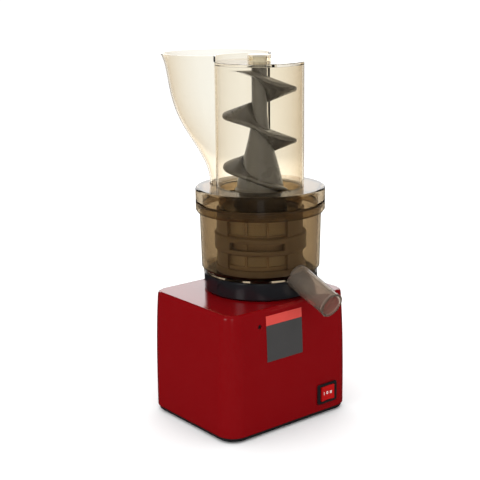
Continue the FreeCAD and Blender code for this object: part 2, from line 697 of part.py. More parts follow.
def stator_windings():
    inner = ROTOR_RADIUS + ROTOR_GAP + 2.5 + WINDING_CLEARANCE
    outer = inner + STATOR_SLOT_DEPTH - 2 * WINDING_CLEARANCE
    low, high = STATOR_BOTTOM_Z - WINDING_OVERHANG, STATOR_TOP_Z + WINDING_OVERHANG
    rings = [tube(outer, inner, low, STATOR_BOTTOM_Z - WINDING_CLEARANCE),
             tube(outer, inner, STATOR_TOP_Z + WINDING_CLEARANCE, high)]
    half = STATOR_SLOT_WIDTH / 2 - WINDING_CLEARANCE
    bar = block((inner + 0.5, outer - 0.5), (-half, half), (low + 1, high - 1))
    bars = [turned(bar, 360 * index / STATOR_SLOTS) for index in range(STATOR_SLOTS)]
    return moved(fuse_all(rings + bars), MOTOR_X)


def bracket(bottom, bearing_above):
    """End bracket: a plate with four arms to the motor bolts and a bearing seat."""
    top = bottom + BRACKET_THICKNESS
    plate = cylinder(MOTOR_RADIUS - 6, bottom, top)
    arms = [turned(block((0, MOTOR_BOLT_CIRCLE), (-BOSS_RADIUS, BOSS_RADIUS), (bottom, top)), 45 + 90 * index)
            for index in range(4)]
    ears = [turned(cylinder(BOSS_RADIUS, bottom, top, MOTOR_BOLT_CIRCLE), 45 + 90 * index) for index in range(4)]
    seat_radius = MOTOR_SHAFT_RADIUS + BEARING_WALL
    seat_bottom = bottom if bearing_above else top - BEARING_HEIGHT
    seat = cylinder(seat_radius + 2.5, seat_bottom, seat_bottom + BEARING_HEIGHT)
    body = fuse_all([plate, seat] + arms + ears)
    cuts = [cylinder(seat_radius, seat_bottom - 1, seat_bottom + BEARING_HEIGHT + 1)]
    cuts += [turned(cylinder(MOTOR_BOLT_RADIUS, bottom - 1, top + 1, MOTOR_BOLT_CIRCLE), 45 + 90 * index)
             for index in range(4)]
    cuts += [turned(cylinder(6.0, bottom - 1, top + 1, 27.0), 90 * index) for index in range(4)]
    return moved(cut_all(body, cuts), MOTOR_X)


def motor_bearings():
    radius = MOTOR_SHAFT_RADIUS + BEARING_WALL
    upper = UPPER_BRACKET_Z + BRACKET_THICKNESS - BEARING_HEIGHT
    pair = [tube(radius, MOTOR_SHAFT_RADIUS + SHAFT_FIT, bottom, bottom + BEARING_HEIGHT)
            for bottom in (LOWER_BRACKET_Z, upper)]
    return moved(Part.makeCompound(pair), MOTOR_X)


def motor_bolts():
    """Four long bolts that clamp both brackets, with spacers round them, down to the base plate."""
    bolts = []
    for index in range(4):
        bolt = cylinder(MOTOR_BOLT_RADIUS, HOUSING_BOTTOM_Z, UPPER_BRACKET_Z + BRACKET_THICKNESS, MOTOR_BOLT_CIRCLE)
        sleeve = cylinder(MOTOR_BOLT_RADIUS + 2, LOWER_BRACKET_Z + BRACKET_THICKNESS, UPPER_BRACKET_Z,
                          MOTOR_BOLT_CIRCLE)
        foot = cylinder(MOTOR_BOLT_RADIUS + 2, HOUSING_BOTTOM_Z, LOWER_BRACKET_Z, MOTOR_BOLT_CIRCLE)
        bolts.append(turned(fuse_all([bolt, sleeve, foot]), 45 + 90 * index))
    return moved(Part.makeCompound(bolts), MOTOR_X)


def rotor_core():
    core = tube(ROTOR_RADIUS, MOTOR_SHAFT_RADIUS, STATOR_BOTTOM_Z - 2, STATOR_TOP_Z + 2)
    return moved(core, MOTOR_X)


def motor_shaft():
    """Motor shaft with the first pinion cut on its upper end."""
    pinion = spur_gear(FIRST_MODULE, PINION_TEETH, FIRST_GEAR_Z, FIRST_GEAR_HEIGHT, 180)
    stem_radius = FIRST_MODULE * (PINION_TEETH / 2 - TOOTH_DEDENDUM)
    shaft = cylinder(MOTOR_SHAFT_RADIUS, FAN_TOP_Z - FAN_HEIGHT - 2, CASE_BOTTOM_Z + CASE_WALL)
    stem = cylinder(stem_radius, CASE_BOTTOM_Z, FIRST_GEAR_Z)
    return moved(fuse_all([shaft, stem, pinion]), MOTOR_X)


def cooling_fan():
    bottom = FAN_TOP_Z - FAN_HEIGHT
    hub = cylinder(FAN_HUB_RADIUS, bottom, FAN_TOP_Z)
    disc = cylinder(FAN_RADIUS, FAN_TOP_Z - FAN_DISC_THICKNESS, FAN_TOP_Z)
    half = FAN_BLADE_THICKNESS / 2
    blade = block((FAN_HUB_RADIUS - 1, FAN_RADIUS - 0.5), (-half, half), (bottom, FAN_TOP_Z - FAN_DISC_THICKNESS / 2))
    blades = [turned(blade, 360 * index / FAN_BLADES) for index in range(FAN_BLADES)]
    fan = fuse_all([hub, disc] + blades)
    return moved(fan.cut(cylinder(MOTOR_SHAFT_RADIUS, bottom - 1, FAN_TOP_Z + 1)), MOTOR_X)


# Gearbox
def case_outline(offset, bottom, top):
    """Plan of the gearbox: discs round the three axes, joined by their common tangents."""
    layshaft = FIRST_MODULE * (WHEEL_TEETH / 2 + 1) + CASE_GAP + offset
    output = SECOND_MODULE * (WHEEL_TEETH / 2 + 1) + CASE_GAP + offset
    discs = [cylinder(layshaft, bottom, top, LAYSHAFT_X), cylinder(output, bottom, top)]
    distance = -LAYSHAFT_X
    lean = math.degrees(math.acos((output - layshaft) / distance))
    corners = [polar(output, 180 - lean), polar(output, 180 + lean),
               polar(layshaft, 180 + lean) + Vector(LAYSHAFT_X, 0, 0),
               polar(layshaft, 180 - lean) + Vector(LAYSHAFT_X, 0, 0)]
    corners = [corner + Vector(0, 0, bottom) for corner in corners]
    web = Part.Face(Part.makePolygon(corners + [corners[0]])).extrude(Vector(0, 0, top - bottom))
    return fuse_all(discs + [web])


def case_screw_places():
    reach = SECOND_MODULE * (WHEEL_TEETH / 2 + 1) + CASE_GAP + CASE_WALL + SCREW_RADIUS
    far = FIRST_MODULE * (WHEEL_TEETH / 2 + 1) + CASE_GAP + CASE_WALL + SCREW_RADIUS
    near = [polar(reach, angle) for angle in (50, -50)]
    return near + [polar(far, angle) + Vector(LAYSHAFT_X, 0, 0) for angle in (130, -130)]


def case_ears(bottom, top):
    return [cylinder(SCREW_HEAD_RADIUS + 0.5, bottom, top, place.x, place.y) for place in case_screw_places()]


def gearbox_case():
    body = case_outline(CASE_WALL, CASE_BOTTOM_Z, CASE_TOP_Z).cut(
        case_outline(0, CASE_BOTTOM_Z + CASE_WALL, CASE_TOP_Z + 1))
    ears = [ear.cut(case_outline(CASE_WALL / 2, CASE_BOTTOM_Z - 1, CASE_TOP_Z + 1))
            for ear in case_ears(CASE_TOP_Z - CASE_SCREW_LENGTH - 2, CASE_TOP_Z)]
    body = fuse_all([body] + ears)
    cuts = [cylinder(MOTOR_SHAFT_RADIUS + 1, CASE_BOTTOM_Z - 1, CASE_BOTTOM_Z + CASE_WALL + 1, MOTOR_X),
            cylinder(LAYSHAFT_RADIUS, CASE_BOTTOM_Z + 1, CASE_TOP_Z, LAYSHAFT_X)]
    cuts += [cylinder(SCREW_RADIUS, CASE_TOP_Z - CASE_SCREW_LENGTH, CASE_TOP_Z + 1, place.x, place.y)
             for place in case_screw_places()]
    return cut_all(body, cuts)


def gearbox_cover():
    plate = case_outline(CASE_WALL, CASE_TOP_Z, COVER_TOP_Z)
    neck = cylinder(COVER_NECK_RADIUS, COVER_TOP_Z - 1, HOUSING_CEILING_Z)
    flange = cylinder(COVER_FLANGE_RADIUS, FLANGE_BOTTOM_Z, HOUSING_CEILING_Z)
    ribs = [turned(block((0, COVER_FLANGE_RADIUS - 6), (-1.5, 1.5), (COVER_TOP_Z - 0.5, FLANGE_BOTTOM_Z + 1)),
                   90 * index) for index in range(4)]
    ears = case_ears(CASE_TOP_Z, COVER_TOP_Z)
    body = fuse_all([plate, neck, flange] + ribs + ears)
    bore = DRIVE_RADIUS + BEARING_WALL
    cuts = [cylinder(bore, CASE_TOP_Z - 1, HOUSING_CEILING_Z + 1),
            cylinder(LAYSHAFT_RADIUS, CASE_TOP_Z - 1, COVER_TOP_Z - 1, LAYSHAFT_X)]
    cuts += [cylinder(SCREW_RADIUS, CASE_TOP_Z - 1, COVER_TOP_Z + 1, place.x, place.y)
             for place in case_screw_places()]
    cuts += collar_screw_shapes(cylinder(SCREW_RADIUS, -1, COLLAR_SCREW_LENGTH))
    return cut_all(body, cuts)


def gearbox_screws():
    screws = []
    for place in case_screw_places():
        body = screw(CASE_SCREW_LENGTH)
        body.rotate(Vector(0, 0, 0), Vector(1, 0, 0), 180)
        screws.append(moved(body, place.x, place.y, COVER_TOP_Z))
    return Part.makeCompound(screws)


def output_bearings():
    low = tube(DRIVE_RADIUS + BEARING_WALL, DRIVE_RADIUS + SHAFT_FIT, CASE_TOP_Z, CASE_TOP_Z + BEARING_HEIGHT)
    high = tube(DRIVE_RADIUS + BEARING_WALL, DRIVE_RADIUS + SHAFT_FIT, HOUSING_CEILING_Z - BEARING_HEIGHT,
                HOUSING_CEILING_Z)
    return Part.makeCompound([low, high])


def layshaft():
    """Layshaft with the second pinion; it runs in bores of the case and the cover."""
    radius = LAYSHAFT_RADIUS - SHAFT_FIT
    shaft = cylinder(radius, CASE_BOTTOM_Z + 1.2, COVER_TOP_Z - 1.2, LAYSHAFT_X)
    pinion = spur_gear(SECOND_MODULE, PINION_TEETH, SECOND_GEAR_Z, SECOND_GEAR_HEIGHT, 0, LAYSHAFT_X)
    return fuse_all([shaft, pinion])


def layshaft_wheel():
    phase = 180.0 / WHEEL_TEETH
    wheel = spur_gear(FIRST_MODULE, WHEEL_TEETH, FIRST_GEAR_Z, FIRST_GEAR_HEIGHT, phase)
    rim = FIRST_MODULE * (WHEEL_TEETH / 2 - TOOTH_DEDENDUM) - 3
    hub = LAYSHAFT_RADIUS + 4
    recess = tube(rim, hub, FIRST_GEAR_Z + FIRST_GEAR_HEIGHT - 3, FIRST_GEAR_Z + FIRST_GEAR_HEIGHT + 1)
    bore = cylinder(LAYSHAFT_RADIUS - SHAFT_FIT, FIRST_GEAR_Z - 1, FIRST_GEAR_Z + FIRST_GEAR_HEIGHT + 1)
    return moved(cut_all(wheel, [recess, bore]), LAYSHAFT_X)


def output_wheel():
    phase = 180 + 180.0 / WHEEL_TEETH
    wheel = spur_gear(SECOND_MODULE, WHEEL_TEETH, SECOND_GEAR_Z, SECOND_GEAR_HEIGHT, phase)
    rim = SECOND_MODULE * (WHEEL_TEETH / 2 - TOOTH_DEDENDUM) - 3
    hub = DRIVE_RADIUS + 5
    recess = tube(rim, hub, SECOND_GEAR_Z - 1, SECOND_GEAR_Z + 4)
    bore = cylinder(DRIVE_RADIUS, SECOND_GEAR_Z - 1, SECOND_GEAR_Z + SECOND_GEAR_HEIGHT + 1)
    return cut_all(wheel, [recess, bore])


def drive_shaft():
    shaft = cylinder(DRIVE_RADIUS, SECOND_GEAR_Z, DRIVE_HEX_Z)
    hexed = hexagon(DRIVE_HEX_FLATS, DRIVE_HEX_Z - 1, DRIVE_TOP_Z)
    corner = DRIVE_HEX_FLATS / math.sqrt(3)
    tip = revolve([(0, DRIVE_HEX_Z - 1), (corner, DRIVE_HEX_Z - 1), (corner, DRIVE_TOP_Z - DRIVE_TIP_CHAMFER),
                   (corner - DRIVE_TIP_CHAMFER, DRIVE_TOP_Z), (0, DRIVE_TOP_Z)])
    return fuse_all([shaft, hexed.common(tip)])


# Collar on the base
def collar_screw_shapes(shape):
    """Copies of a shape drawn along +Z, turned head up and set round the collar's floor."""
    copies = []
    for index in range(4):
        copy = shape.copy()
        copy.rotate(Vector(0, 0, 0), Vector(1, 0, 0), 180)
        place = polar(COLLAR_SCREW_CIRCLE, 45 + 90 * index, BASE_TOP_Z + COLLAR_FLOOR)
        copy.translate(place)
        copies.append(copy)
    return copies


def collar_screws():
    return Part.makeCompound(collar_screw_shapes(screw(COLLAR_SCREW_LENGTH)))


def drum_seat_collar():
    inner = COLLAR_RADIUS - COLLAR_WALL
    body = revolve([(COLLAR_SHAFT_HOLE, BASE_TOP_Z), (COLLAR_RADIUS - COLLAR_FOOT_CHAMFER, BASE_TOP_Z),
                    (COLLAR_RADIUS, BASE_TOP_Z + COLLAR_FOOT_CHAMFER),
                    (COLLAR_RADIUS, COLLAR_TOP_Z - COLLAR_RIM_ROUND),
                    (COLLAR_RADIUS - COLLAR_RIM_ROUND, COLLAR_TOP_Z), (inner, COLLAR_TOP_Z),
                    (inner, BASE_TOP_Z + COLLAR_FLOOR), (COLLAR_SHAFT_HOLE, BASE_TOP_Z + COLLAR_FLOOR)])
    cuts = [spout_body(NOTCH_CLEARANCE), moved(spout_body(NOTCH_CLEARANCE), 0, 0, 10),
            moved(spout_body(NOTCH_CLEARANCE), 0, 0, 20), chute_body(NOTCH_CLEARANCE),
            moved(chute_body(NOTCH_CLEARANCE), 0, 0, 15)]
    cuts += collar_screw_shapes(cylinder(SCREW_RADIUS, -1, COLLAR_SCREW_LENGTH))
    dimple = Part.makeCylinder(DIMPLE_RADIUS, DIMPLE_DEPTH + 2,
                               polar(COLLAR_RADIUS - DIMPLE_DEPTH, DIMPLE_ANGLE, BASE_TOP_Z + COLLAR_HEIGHT / 2),
                               polar(1, DIMPLE_ANGLE))
    cuts.append(dimple)
    cuts.append(lug_slots())
    return cut_all(body, cuts)


def lug_slots():
    """Grooves inside the collar's wall that the drum's lugs drop into."""
    inner = COLLAR_RADIUS - COLLAR_WALL
    slots = [sector(inner + LUG_DEPTH + 0.6, inner - 1, BASE_TOP_Z + COLLAR_FLOOR, COLLAR_TOP_Z + 1,
                    lug_angle(index), math.degrees((LUG_WIDTH + 2) / inner)) for index in range(DRUM_LUGS)]
    return Part.makeCompound(slots)


def lug_angle(index):
    return 45 + 360 * index / DRUM_LUGS


# Drum
def drum_outside(offset=0.0):
    """The drum's outer form as a filled solid."""
    return revolve([(0, DRUM_FOOT_Z), (DRUM_FOOT_RADIUS, DRUM_FOOT_Z),
                    (DRUM_LOW_RADIUS - offset, DRUM_FOOT_Z + DRUM_CHAMFER_HEIGHT),
                    (DRUM_HIGH_RADIUS - offset, DRUM_RIM_Z), (DRUM_RIM_RADIUS, DRUM_RIM_Z),
                    (DRUM_RIM_RADIUS, DRUM_RIM_Z + DRUM_RIM_HEIGHT), (0, DRUM_RIM_Z + DRUM_RIM_HEIGHT)])


def drum_cavity():
    return revolve([(0, DRUM_FLOOR_Z), (DRUM_FOOT_RADIUS - DRUM_WALL / 2, DRUM_FLOOR_Z),
                    (DRUM_LOW_RADIUS - DRUM_WALL, DRUM_FOOT_Z + DRUM_CHAMFER_HEIGHT),
                    (DRUM_HIGH_RADIUS - DRUM_WALL, DRUM_RIM_Z), (DRUM_HIGH_RADIUS - DRUM_WALL, DRUM_RIM_Z + 10),
                    (0, DRUM_RIM_Z + 10)])


def spout_point(y):
    """Point on the spout's axis at a given y."""
    drop = (-DRUM_LOW_RADIUS - y) * math.tan(math.radians(SPOUT_ANGLE))
    return Vector(0, y, SPOUT_AXIS_Z - drop)


def spout_body(offset=0.0):
    """Filled spout: a round bulb at the root and a tapered tube down to the lip."""
    root, end = spout_point(SPOUT_ROOT_Y), spout_point(SPOUT_END_Y)
    direction = end - root
    length = direction.Length
    cone = Part.makeCone(SPOUT_ROOT_RADIUS + offset, SPOUT_END_RADIUS + offset, length, root, direction)
    bulb = Part.makeSphere(SPOUT_ROOT_RADIUS + offset, root)
    return cone.fuse(bulb)


def spout_bore():
    root, end = spout_point(SPOUT_ROOT_Y), spout_point(SPOUT_END_Y)
    direction = end - root
    bore = Part.makeCylinder(SPOUT_BORE, direction.Length, root, direction)
    mouth = Part.makeCylinder(SPOUT_MOUTH_BORE, SPOUT_MOUTH_DEPTH + 5, end - direction.normalize() * SPOUT_MOUTH_DEPTH,
                              direction)
    return bore.fuse(Part.makeSphere(SPOUT_BORE, root)).fuse(mouth)


def juice_spout():
    root, end = spout_point(SPOUT_ROOT_Y), spout_point(SPOUT_END_Y)
    back = (root - end).normalize()
    lip = Part.makeCylinder(SPOUT_END_RADIUS + SPOUT_LIP, SPOUT_LIP_LENGTH, end, back)
    body = fuse_all([spout_body(), lip])
    return cut_all(body, [spout_bore(), drum_outside(), drum_spigot_room()])


def chute_body(offset=0.0):
    """Filled pulp chute: a flat duct with round corners that slopes down to the back."""
    wire = rounded_wire(CHUTE_WIDTH + 2 * offset, CHUTE_HEIGHT + 2 * offset, CHUTE_CORNER + offset, 0)
    length = (CHUTE_END_Y - CHUTE_START_Y) / math.cos(math.radians(CHUTE_ANGLE))
    duct = Part.Face(wire).extrude(Vector(0, 0, length))
    duct.rotate(Vector(0, 0, 0), Vector(1, 0, 0), -90 - CHUTE_ANGLE)
    return moved(duct, 0, CHUTE_START_Y, DRUM_FOOT_Z - CHUTE_HEIGHT / 2 + CHUTE_WALL)


def pulp_chute():
    inner = chute_body(-CHUTE_WALL)
    room = moved(inner, 0, 3 * CHUTE_WALL, 0)
    head = moved(inner, 0, CHUTE_WALL, 0)
    drop = cylinder(PULP_HOLE_RADIUS + PULP_NECK_WALL + PULP_NECK_GAP, DRUM_FOOT_Z - CHUTE_HEIGHT / 2,
                    DRUM_FLOOR_Z + 1, 0, PULP_HOLE_Y)
    return cut_all(chute_body(), [room, head, drop, drum_outside(), drum_spigot_room()])


def drum_spigot_room():
    """The ring under the drum's floor that drops into the collar."""
    outer = COLLAR_RADIUS - COLLAR_WALL - DRUM_SPIGOT_GAP
    return tube(outer, outer - DRUM_SPIGOT_WALL, DRUM_FOOT_Z - DRUM_SPIGOT_HEIGHT, DRUM_FOOT_Z)


def juice_drum():
    body = drum_outside().cut(drum_cavity())
    outer = COLLAR_RADIUS - COLLAR_WALL - DRUM_SPIGOT_GAP
    lugs = [sector(outer + LUG_DEPTH, outer - 1, DRUM_FOOT_Z - DRUM_SPIGOT_HEIGHT,
                   DRUM_FOOT_Z - DRUM_SPIGOT_HEIGHT + LUG_HEIGHT, lug_angle(index), math.degrees(LUG_WIDTH / outer))
            for index in range(DRUM_LUGS)]
    sleeve = cylinder(DRUM_SLEEVE_RADIUS, DRUM_FOOT_Z, DRUM_FLOOR_Z + DRUM_SLEEVE_TOP)
    posts = [cylinder(IDLER_POST_RADIUS, DRUM_FLOOR_Z - 1, BRUSH_GEAR_Z + BRUSH_GEAR_HEIGHT, side * IDLER_CENTRE)
             for side in (-1, 1)]
    body = fuse_all([body, drum_spigot_room(), sleeve] + lugs + posts)
    cuts = [spout_bore(), chute_body(-CHUTE_WALL).common(block((-100, 100), (0, 200), (0, DRUM_FOOT_Z))),
            cylinder(DRUM_SLEEVE_RADIUS - SEAL_WALL, DRUM_FOOT_Z - 1, DRUM_FLOOR_Z + DRUM_SLEEVE_TOP + 1),
            cylinder(PULP_HOLE_RADIUS + PULP_NECK_WALL + PULP_NECK_GAP, DRUM_FOOT_Z - 1, DRUM_FLOOR_Z + 1, 0,
                     PULP_HOLE_Y)]
    return cut_all(body, cuts)


def drum_shaft_seal():
    return tube(DRUM_SLEEVE_RADIUS - SEAL_WALL, DRIVE_RADIUS + SEAL_GAP, DRUM_FOOT_Z,
                DRUM_FLOOR_Z + DRUM_SLEEVE_TOP)


# Strainer
def strainer_floor_hole():
    return BRUSH_MODULE * (SUN_TEETH / 2 + 1) + FLOOR_HOLE_CLEARANCE


def strainer_frame():
    inner = STRAINER_RADIUS - STRAINER_WALL
    floor_top = STRAINER_FLOOR_Z + STRAINER_FLOOR_HEIGHT
    floor = tube(STRAINER_RADIUS, strainer_floor_hole(), STRAINER_FLOOR_Z, floor_top)
    rings = [tube(STRAINER_RADIUS, inner, bottom, bottom + STRAINER_BAND_HEIGHT)
             for bottom in (floor_top - 0.5, LOWER_MESH_TOP_Z, UPPER_MESH_BOTTOM_Z - STRAINER_BAND_HEIGHT)]
    rings.append(tube(STRAINER_RADIUS, inner, STRAINER_TOP_Z - STRAINER_RING_HEIGHT, STRAINER_TOP_Z))
    rib_angle = math.degrees(STRAINER_RIB_WIDTH / STRAINER_RADIUS)
    ribs = [sector(STRAINER_RADIUS, inner + MESH_WALL, floor_top - 0.5, STRAINER_TOP_Z - 1,
                   360 * index / STRAINER_RIBS, rib_angle) for index in range(STRAINER_RIBS)]
    leg_top = STRAINER_FLOOR_Z + 1
    leg_angle = math.degrees(LEG_WIDTH / LEG_OUTER_RADIUS)
    legs = [sector(LEG_OUTER_RADIUS, LEG_INNER_RADIUS, DRUM_FLOOR_Z, leg_top, angle, leg_angle)
            for angle in (235, 305)]
    neck = cylinder(PULP_HOLE_RADIUS + PULP_NECK_WALL, DRUM_FOOT_Z, STRAINER_FLOOR_Z + 1, 0, PULP_HOLE_Y)
    body = fuse_all([floor, neck] + rings + ribs + legs)
    return body.cut(cylinder(PULP_HOLE_RADIUS, DRUM_FOOT_Z - 1, floor_top + 1, 0, PULP_HOLE_Y))


def mesh_sleeve(bottom, top):
    """Thin steel sleeve inside the ribs, with a row of slots."""
    outer = STRAINER_RADIUS - STRAINER_WALL + MESH_WALL
    sleeve = tube(outer, outer - MESH_WALL, bottom, top)
    half = MESH_SLOT_WIDTH / 2
    slot = block((outer - 2 * MESH_WALL, outer + 1), (-half, half), (bottom + 2, top - 2))
    step = 360.0 / MESH_SLOTS
    return cut_all(sleeve, [turned(slot, step * (index + 0.5)) for index in range(MESH_SLOTS)])


def lower_mesh():
    return mesh_sleeve(STRAINER_FLOOR_Z + STRAINER_FLOOR_HEIGHT - 0.5 + STRAINER_BAND_HEIGHT, LOWER_MESH_TOP_Z)


def upper_mesh():
    return mesh_sleeve(UPPER_MESH_BOTTOM_Z, STRAINER_TOP_Z - STRAINER_RING_HEIGHT)


def window_screen():
    """Plain sleeve behind the windows of the middle band."""
    outer = STRAINER_RADIUS - STRAINER_WALL + MESH_WALL
    return tube(outer, outer - MESH_WALL, LOWER_MESH_TOP_Z + STRAINER_BAND_HEIGHT,
                UPPER_MESH_BOTTOM_Z - STRAINER_BAND_HEIGHT)


# Brush and its gears
def brush_frame():
    gear_top = BRUSH_GEAR_Z + BRUSH_GEAR_HEIGHT
    gear_ring = cylinder(BRUSH_RING_RADIUS, DRUM_FLOOR_Z + DRUM_GAP, gear_top + 2)
    arms = [sector(BRUSH_RADIUS, BRUSH_INNER_RADIUS, gear_top, BRUSH_TOP_Z, brush_arm_angle(index), BRUSH_ARM_ANGLE)
            for index in range(BRUSH_ARMS)]
    chamfer = BRUSH_BAND_CHAMFER
    band = revolve([(BRUSH_INNER_RADIUS, BRUSH_BAND_BOTTOM_Z), (BRUSH_BAND_RADIUS - chamfer, BRUSH_BAND_BOTTOM_Z),
                    (BRUSH_BAND_RADIUS, BRUSH_BAND_BOTTOM_Z + chamfer),
                    (BRUSH_BAND_RADIUS, BRUSH_BAND_TOP_Z - chamfer),
                    (BRUSH_BAND_RADIUS - chamfer, BRUSH_BAND_TOP_Z), (BRUSH_INNER_RADIUS, BRUSH_BAND_TOP_Z)])
    window_gap = 360 / BRUSH_ARMS - BRUSH_ARM_ANGLE
    height = BRUSH_BAND_TOP_Z - BRUSH_BAND_BOTTOM_Z
    windows = [sector(BRUSH_BAND_RADIUS + 1, BRUSH_INNER_RADIUS - 1, BRUSH_BAND_BOTTOM_Z + height * 0.3,
                      BRUSH_BAND_TOP_Z - height * 0.3, brush_arm_angle(index) + 180 / BRUSH_ARMS,
                      window_gap - 12) for index in range(BRUSH_ARMS)]
    top_ring = tube(BRUSH_RADIUS, BRUSH_INNER_RADIUS, BRUSH_TOP_Z - BRUSH_RING_HEIGHT, BRUSH_TOP_Z)
    body = fuse_all([gear_ring, band, top_ring] + arms)
    teeth = ring_gear_space(BRUSH_MODULE, RING_TEETH, DRUM_FLOOR_Z, gear_top - DRUM_FLOOR_Z, 0)
    above = cylinder(BRUSH_INNER_RADIUS, gear_top, gear_top + 3)
    return cut_all(body, [teeth, above] + windows + wiper_slots())


def brush_arm_angle(index):
    return BRUSH_ARM_TURN + 360 * index / BRUSH_ARMS


def wiper_bar(gap, end_gap):
    """Wiper strip on the +X side, standing between the strainer and the arm."""
    half = WIPER_WIDTH / 2 - gap
    return block((STRAINER_RADIUS + WIPER_GAP, BRUSH_INNER_RADIUS + WIPER_BACK), (-half, half),
                 (STRAINER_FLOOR_Z + end_gap, STRAINER_TOP_Z - end_gap))


def wiper_slots():
    return [turned(wiper_bar(0, WIPER_END_GAP), brush_arm_angle(index)) for index in range(BRUSH_ARMS)]


def brush_wipers():
    return Part.makeCompound([turned(wiper_bar(0, WIPER_END_GAP), brush_arm_angle(index))
                              for index in range(BRUSH_ARMS)])


def idler_gear(side):
    """Idler on its post; side is 1 for +X and -1 for -X. A space faces the sun."""
    towards_sun = 180 if side > 0 else 0
    gear = spur_gear(BRUSH_MODULE, IDLER_TEETH, BRUSH_GEAR_Z, BRUSH_GEAR_HEIGHT,
                     towards_sun + 180.0 / IDLER_TEETH)
    bore = cylinder(IDLER_POST_RADIUS + SHAFT_FIT, BRUSH_GEAR_Z - 1, BRUSH_GEAR_Z + BRUSH_GEAR_HEIGHT + 1)
    return moved(gear.cut(bore), side * IDLER_CENTRE)


# Auger
def auger_core():
    """Turned core: thin shaft, flared hub, shoulder and a barrel that widens downwards."""
    flare = Part.BSplineCurve()
    flare.interpolate([Vector(radius, 0, z) for z, radius in AUGER_FLARE])
    flare_edge = flare.toShape()
    low_z, low_radius = AUGER_FLARE[-1]
    before = [Vector(0, 0, AUGER_PIN_TOP_Z), Vector(AUGER_PIN_RADIUS, 0, AUGER_PIN_TOP_Z),
              Vector(AUGER_PIN_RADIUS, 0, AUGER_SHAFT_TOP_Z), Vector(AUGER_SHAFT_RADIUS, 0, AUGER_SHAFT_TOP_Z),
              Vector(AUGER_SHAFT_RADIUS, 0, AUGER_FLARE[0][0])]
    after = [Vector(low_radius, 0, low_z), Vector(AUGER_SHOULDER_RADIUS, 0, AUGER_SHOULDER_Z),
             Vector(AUGER_SHOULDER_RADIUS, 0, SCREW_TOP_Z), Vector(AUGER_BARREL_RADIUS, 0, BRUSH_BAND_BOTTOM_Z),
             Vector(AUGER_BARREL_RADIUS, 0, AUGER_BOTTOM_Z), Vector(AUGER_NECK_RADIUS, 0, AUGER_BOTTOM_Z),
             Vector(AUGER_NECK_RADIUS, 0, SUN_TOP_Z), Vector(0, 0, SUN_TOP_Z), Vector(0, 0, AUGER_PIN_TOP_Z)]
    edges = [Part.makeLine(a, b) for a, b in zip(before, before[1:])]
    edges.append(flare_edge)
    edges += [Part.makeLine(a, b) for a, b in zip(after, after[1:])]
    return Part.Face(Part.Wire(edges)).revolve(Vector(0, 0, 0), UP, 360)


def blade(pitch, bottom, top, inner, outer, root, tip, angle_at_bottom):
    """Left-handed helical blade, thicker at its root than at its tip."""
    helix = Part.makeHelix(pitch, top - bottom, inner, 0, True)
    profile = Part.makePolygon([Vector(inner, 0, -root / 2), Vector(outer, 0, -tip / 2), Vector(outer, 0, tip / 2),
                                Vector(inner, 0, root / 2), Vector(inner, 0, -root / 2)])
    solid = Part.Wire(helix).makePipeShell([profile], True, True)
    return moved(turned(solid, angle_at_bottom), 0, 0, bottom)


def blade_angle(z):
    """Angle of the feed blade at a height; a left-handed blade turns back as it climbs."""
    return BLADE_TIP_ANGLE - 360 * (z - BLADE_TIP_Z) / BLADE_PITCH_Z


def auger():
    feed = blade(BLADE_PITCH_Z, BLADE_BOTTOM_Z, BLADE_TOP_Z, AUGER_SHAFT_RADIUS * 0.7, BLADE_RADIUS + 3,
                 BLADE_ROOT_THICKNESS, BLADE_TIP_THICKNESS, blade_angle(BLADE_BOTTOM_Z))
    limit = revolve([(0, BLADE_BOTTOM_Z - 10), (BLADE_RADIUS, BLADE_BOTTOM_Z - 10), (BLADE_RADIUS, BLADE_FULL_Z),
                     (AUGER_SHAFT_RADIUS + 1, BLADE_TOP_Z), (0, BLADE_TOP_Z)])
    feed = feed.common(limit)
    tip_radius = STRAINER_RADIUS - STRAINER_WALL - SCREW_TIP_GAP
    screw_bottom = AUGER_BOTTOM_Z + SCREW_TOOTH_ROOT / 2
    press = blade(SCREW_PITCH_Z, screw_bottom, SCREW_TOP_Z - 2 * SCREW_TOOTH_TIP, AUGER_SHOULDER_RADIUS - 6,
                  tip_radius, SCREW_TOOTH_ROOT, SCREW_TOOTH_TIP, blade_angle(BLADE_BOTTOM_Z) + 180)
    sun = spur_gear(BRUSH_MODULE, SUN_TEETH, BRUSH_GEAR_Z, SUN_TOP_Z - BRUSH_GEAR_Z, 0)
    body = fuse_all([auger_core(), feed, press, sun])
    socket_top = DRIVE_TOP_Z + DRIVE_END_GAP
    sleeve_room = cylinder(DRUM_SLEEVE_RADIUS + 1, BRUSH_GEAR_Z - 1, DRUM_FLOOR_Z + DRUM_SLEEVE_TOP + 1)
    return cut_all(body, [hexagon(DRIVE_HEX_FLATS + 2 * HEX_CLEARANCE, BRUSH_GEAR_Z - 1, socket_top), sleeve_room])


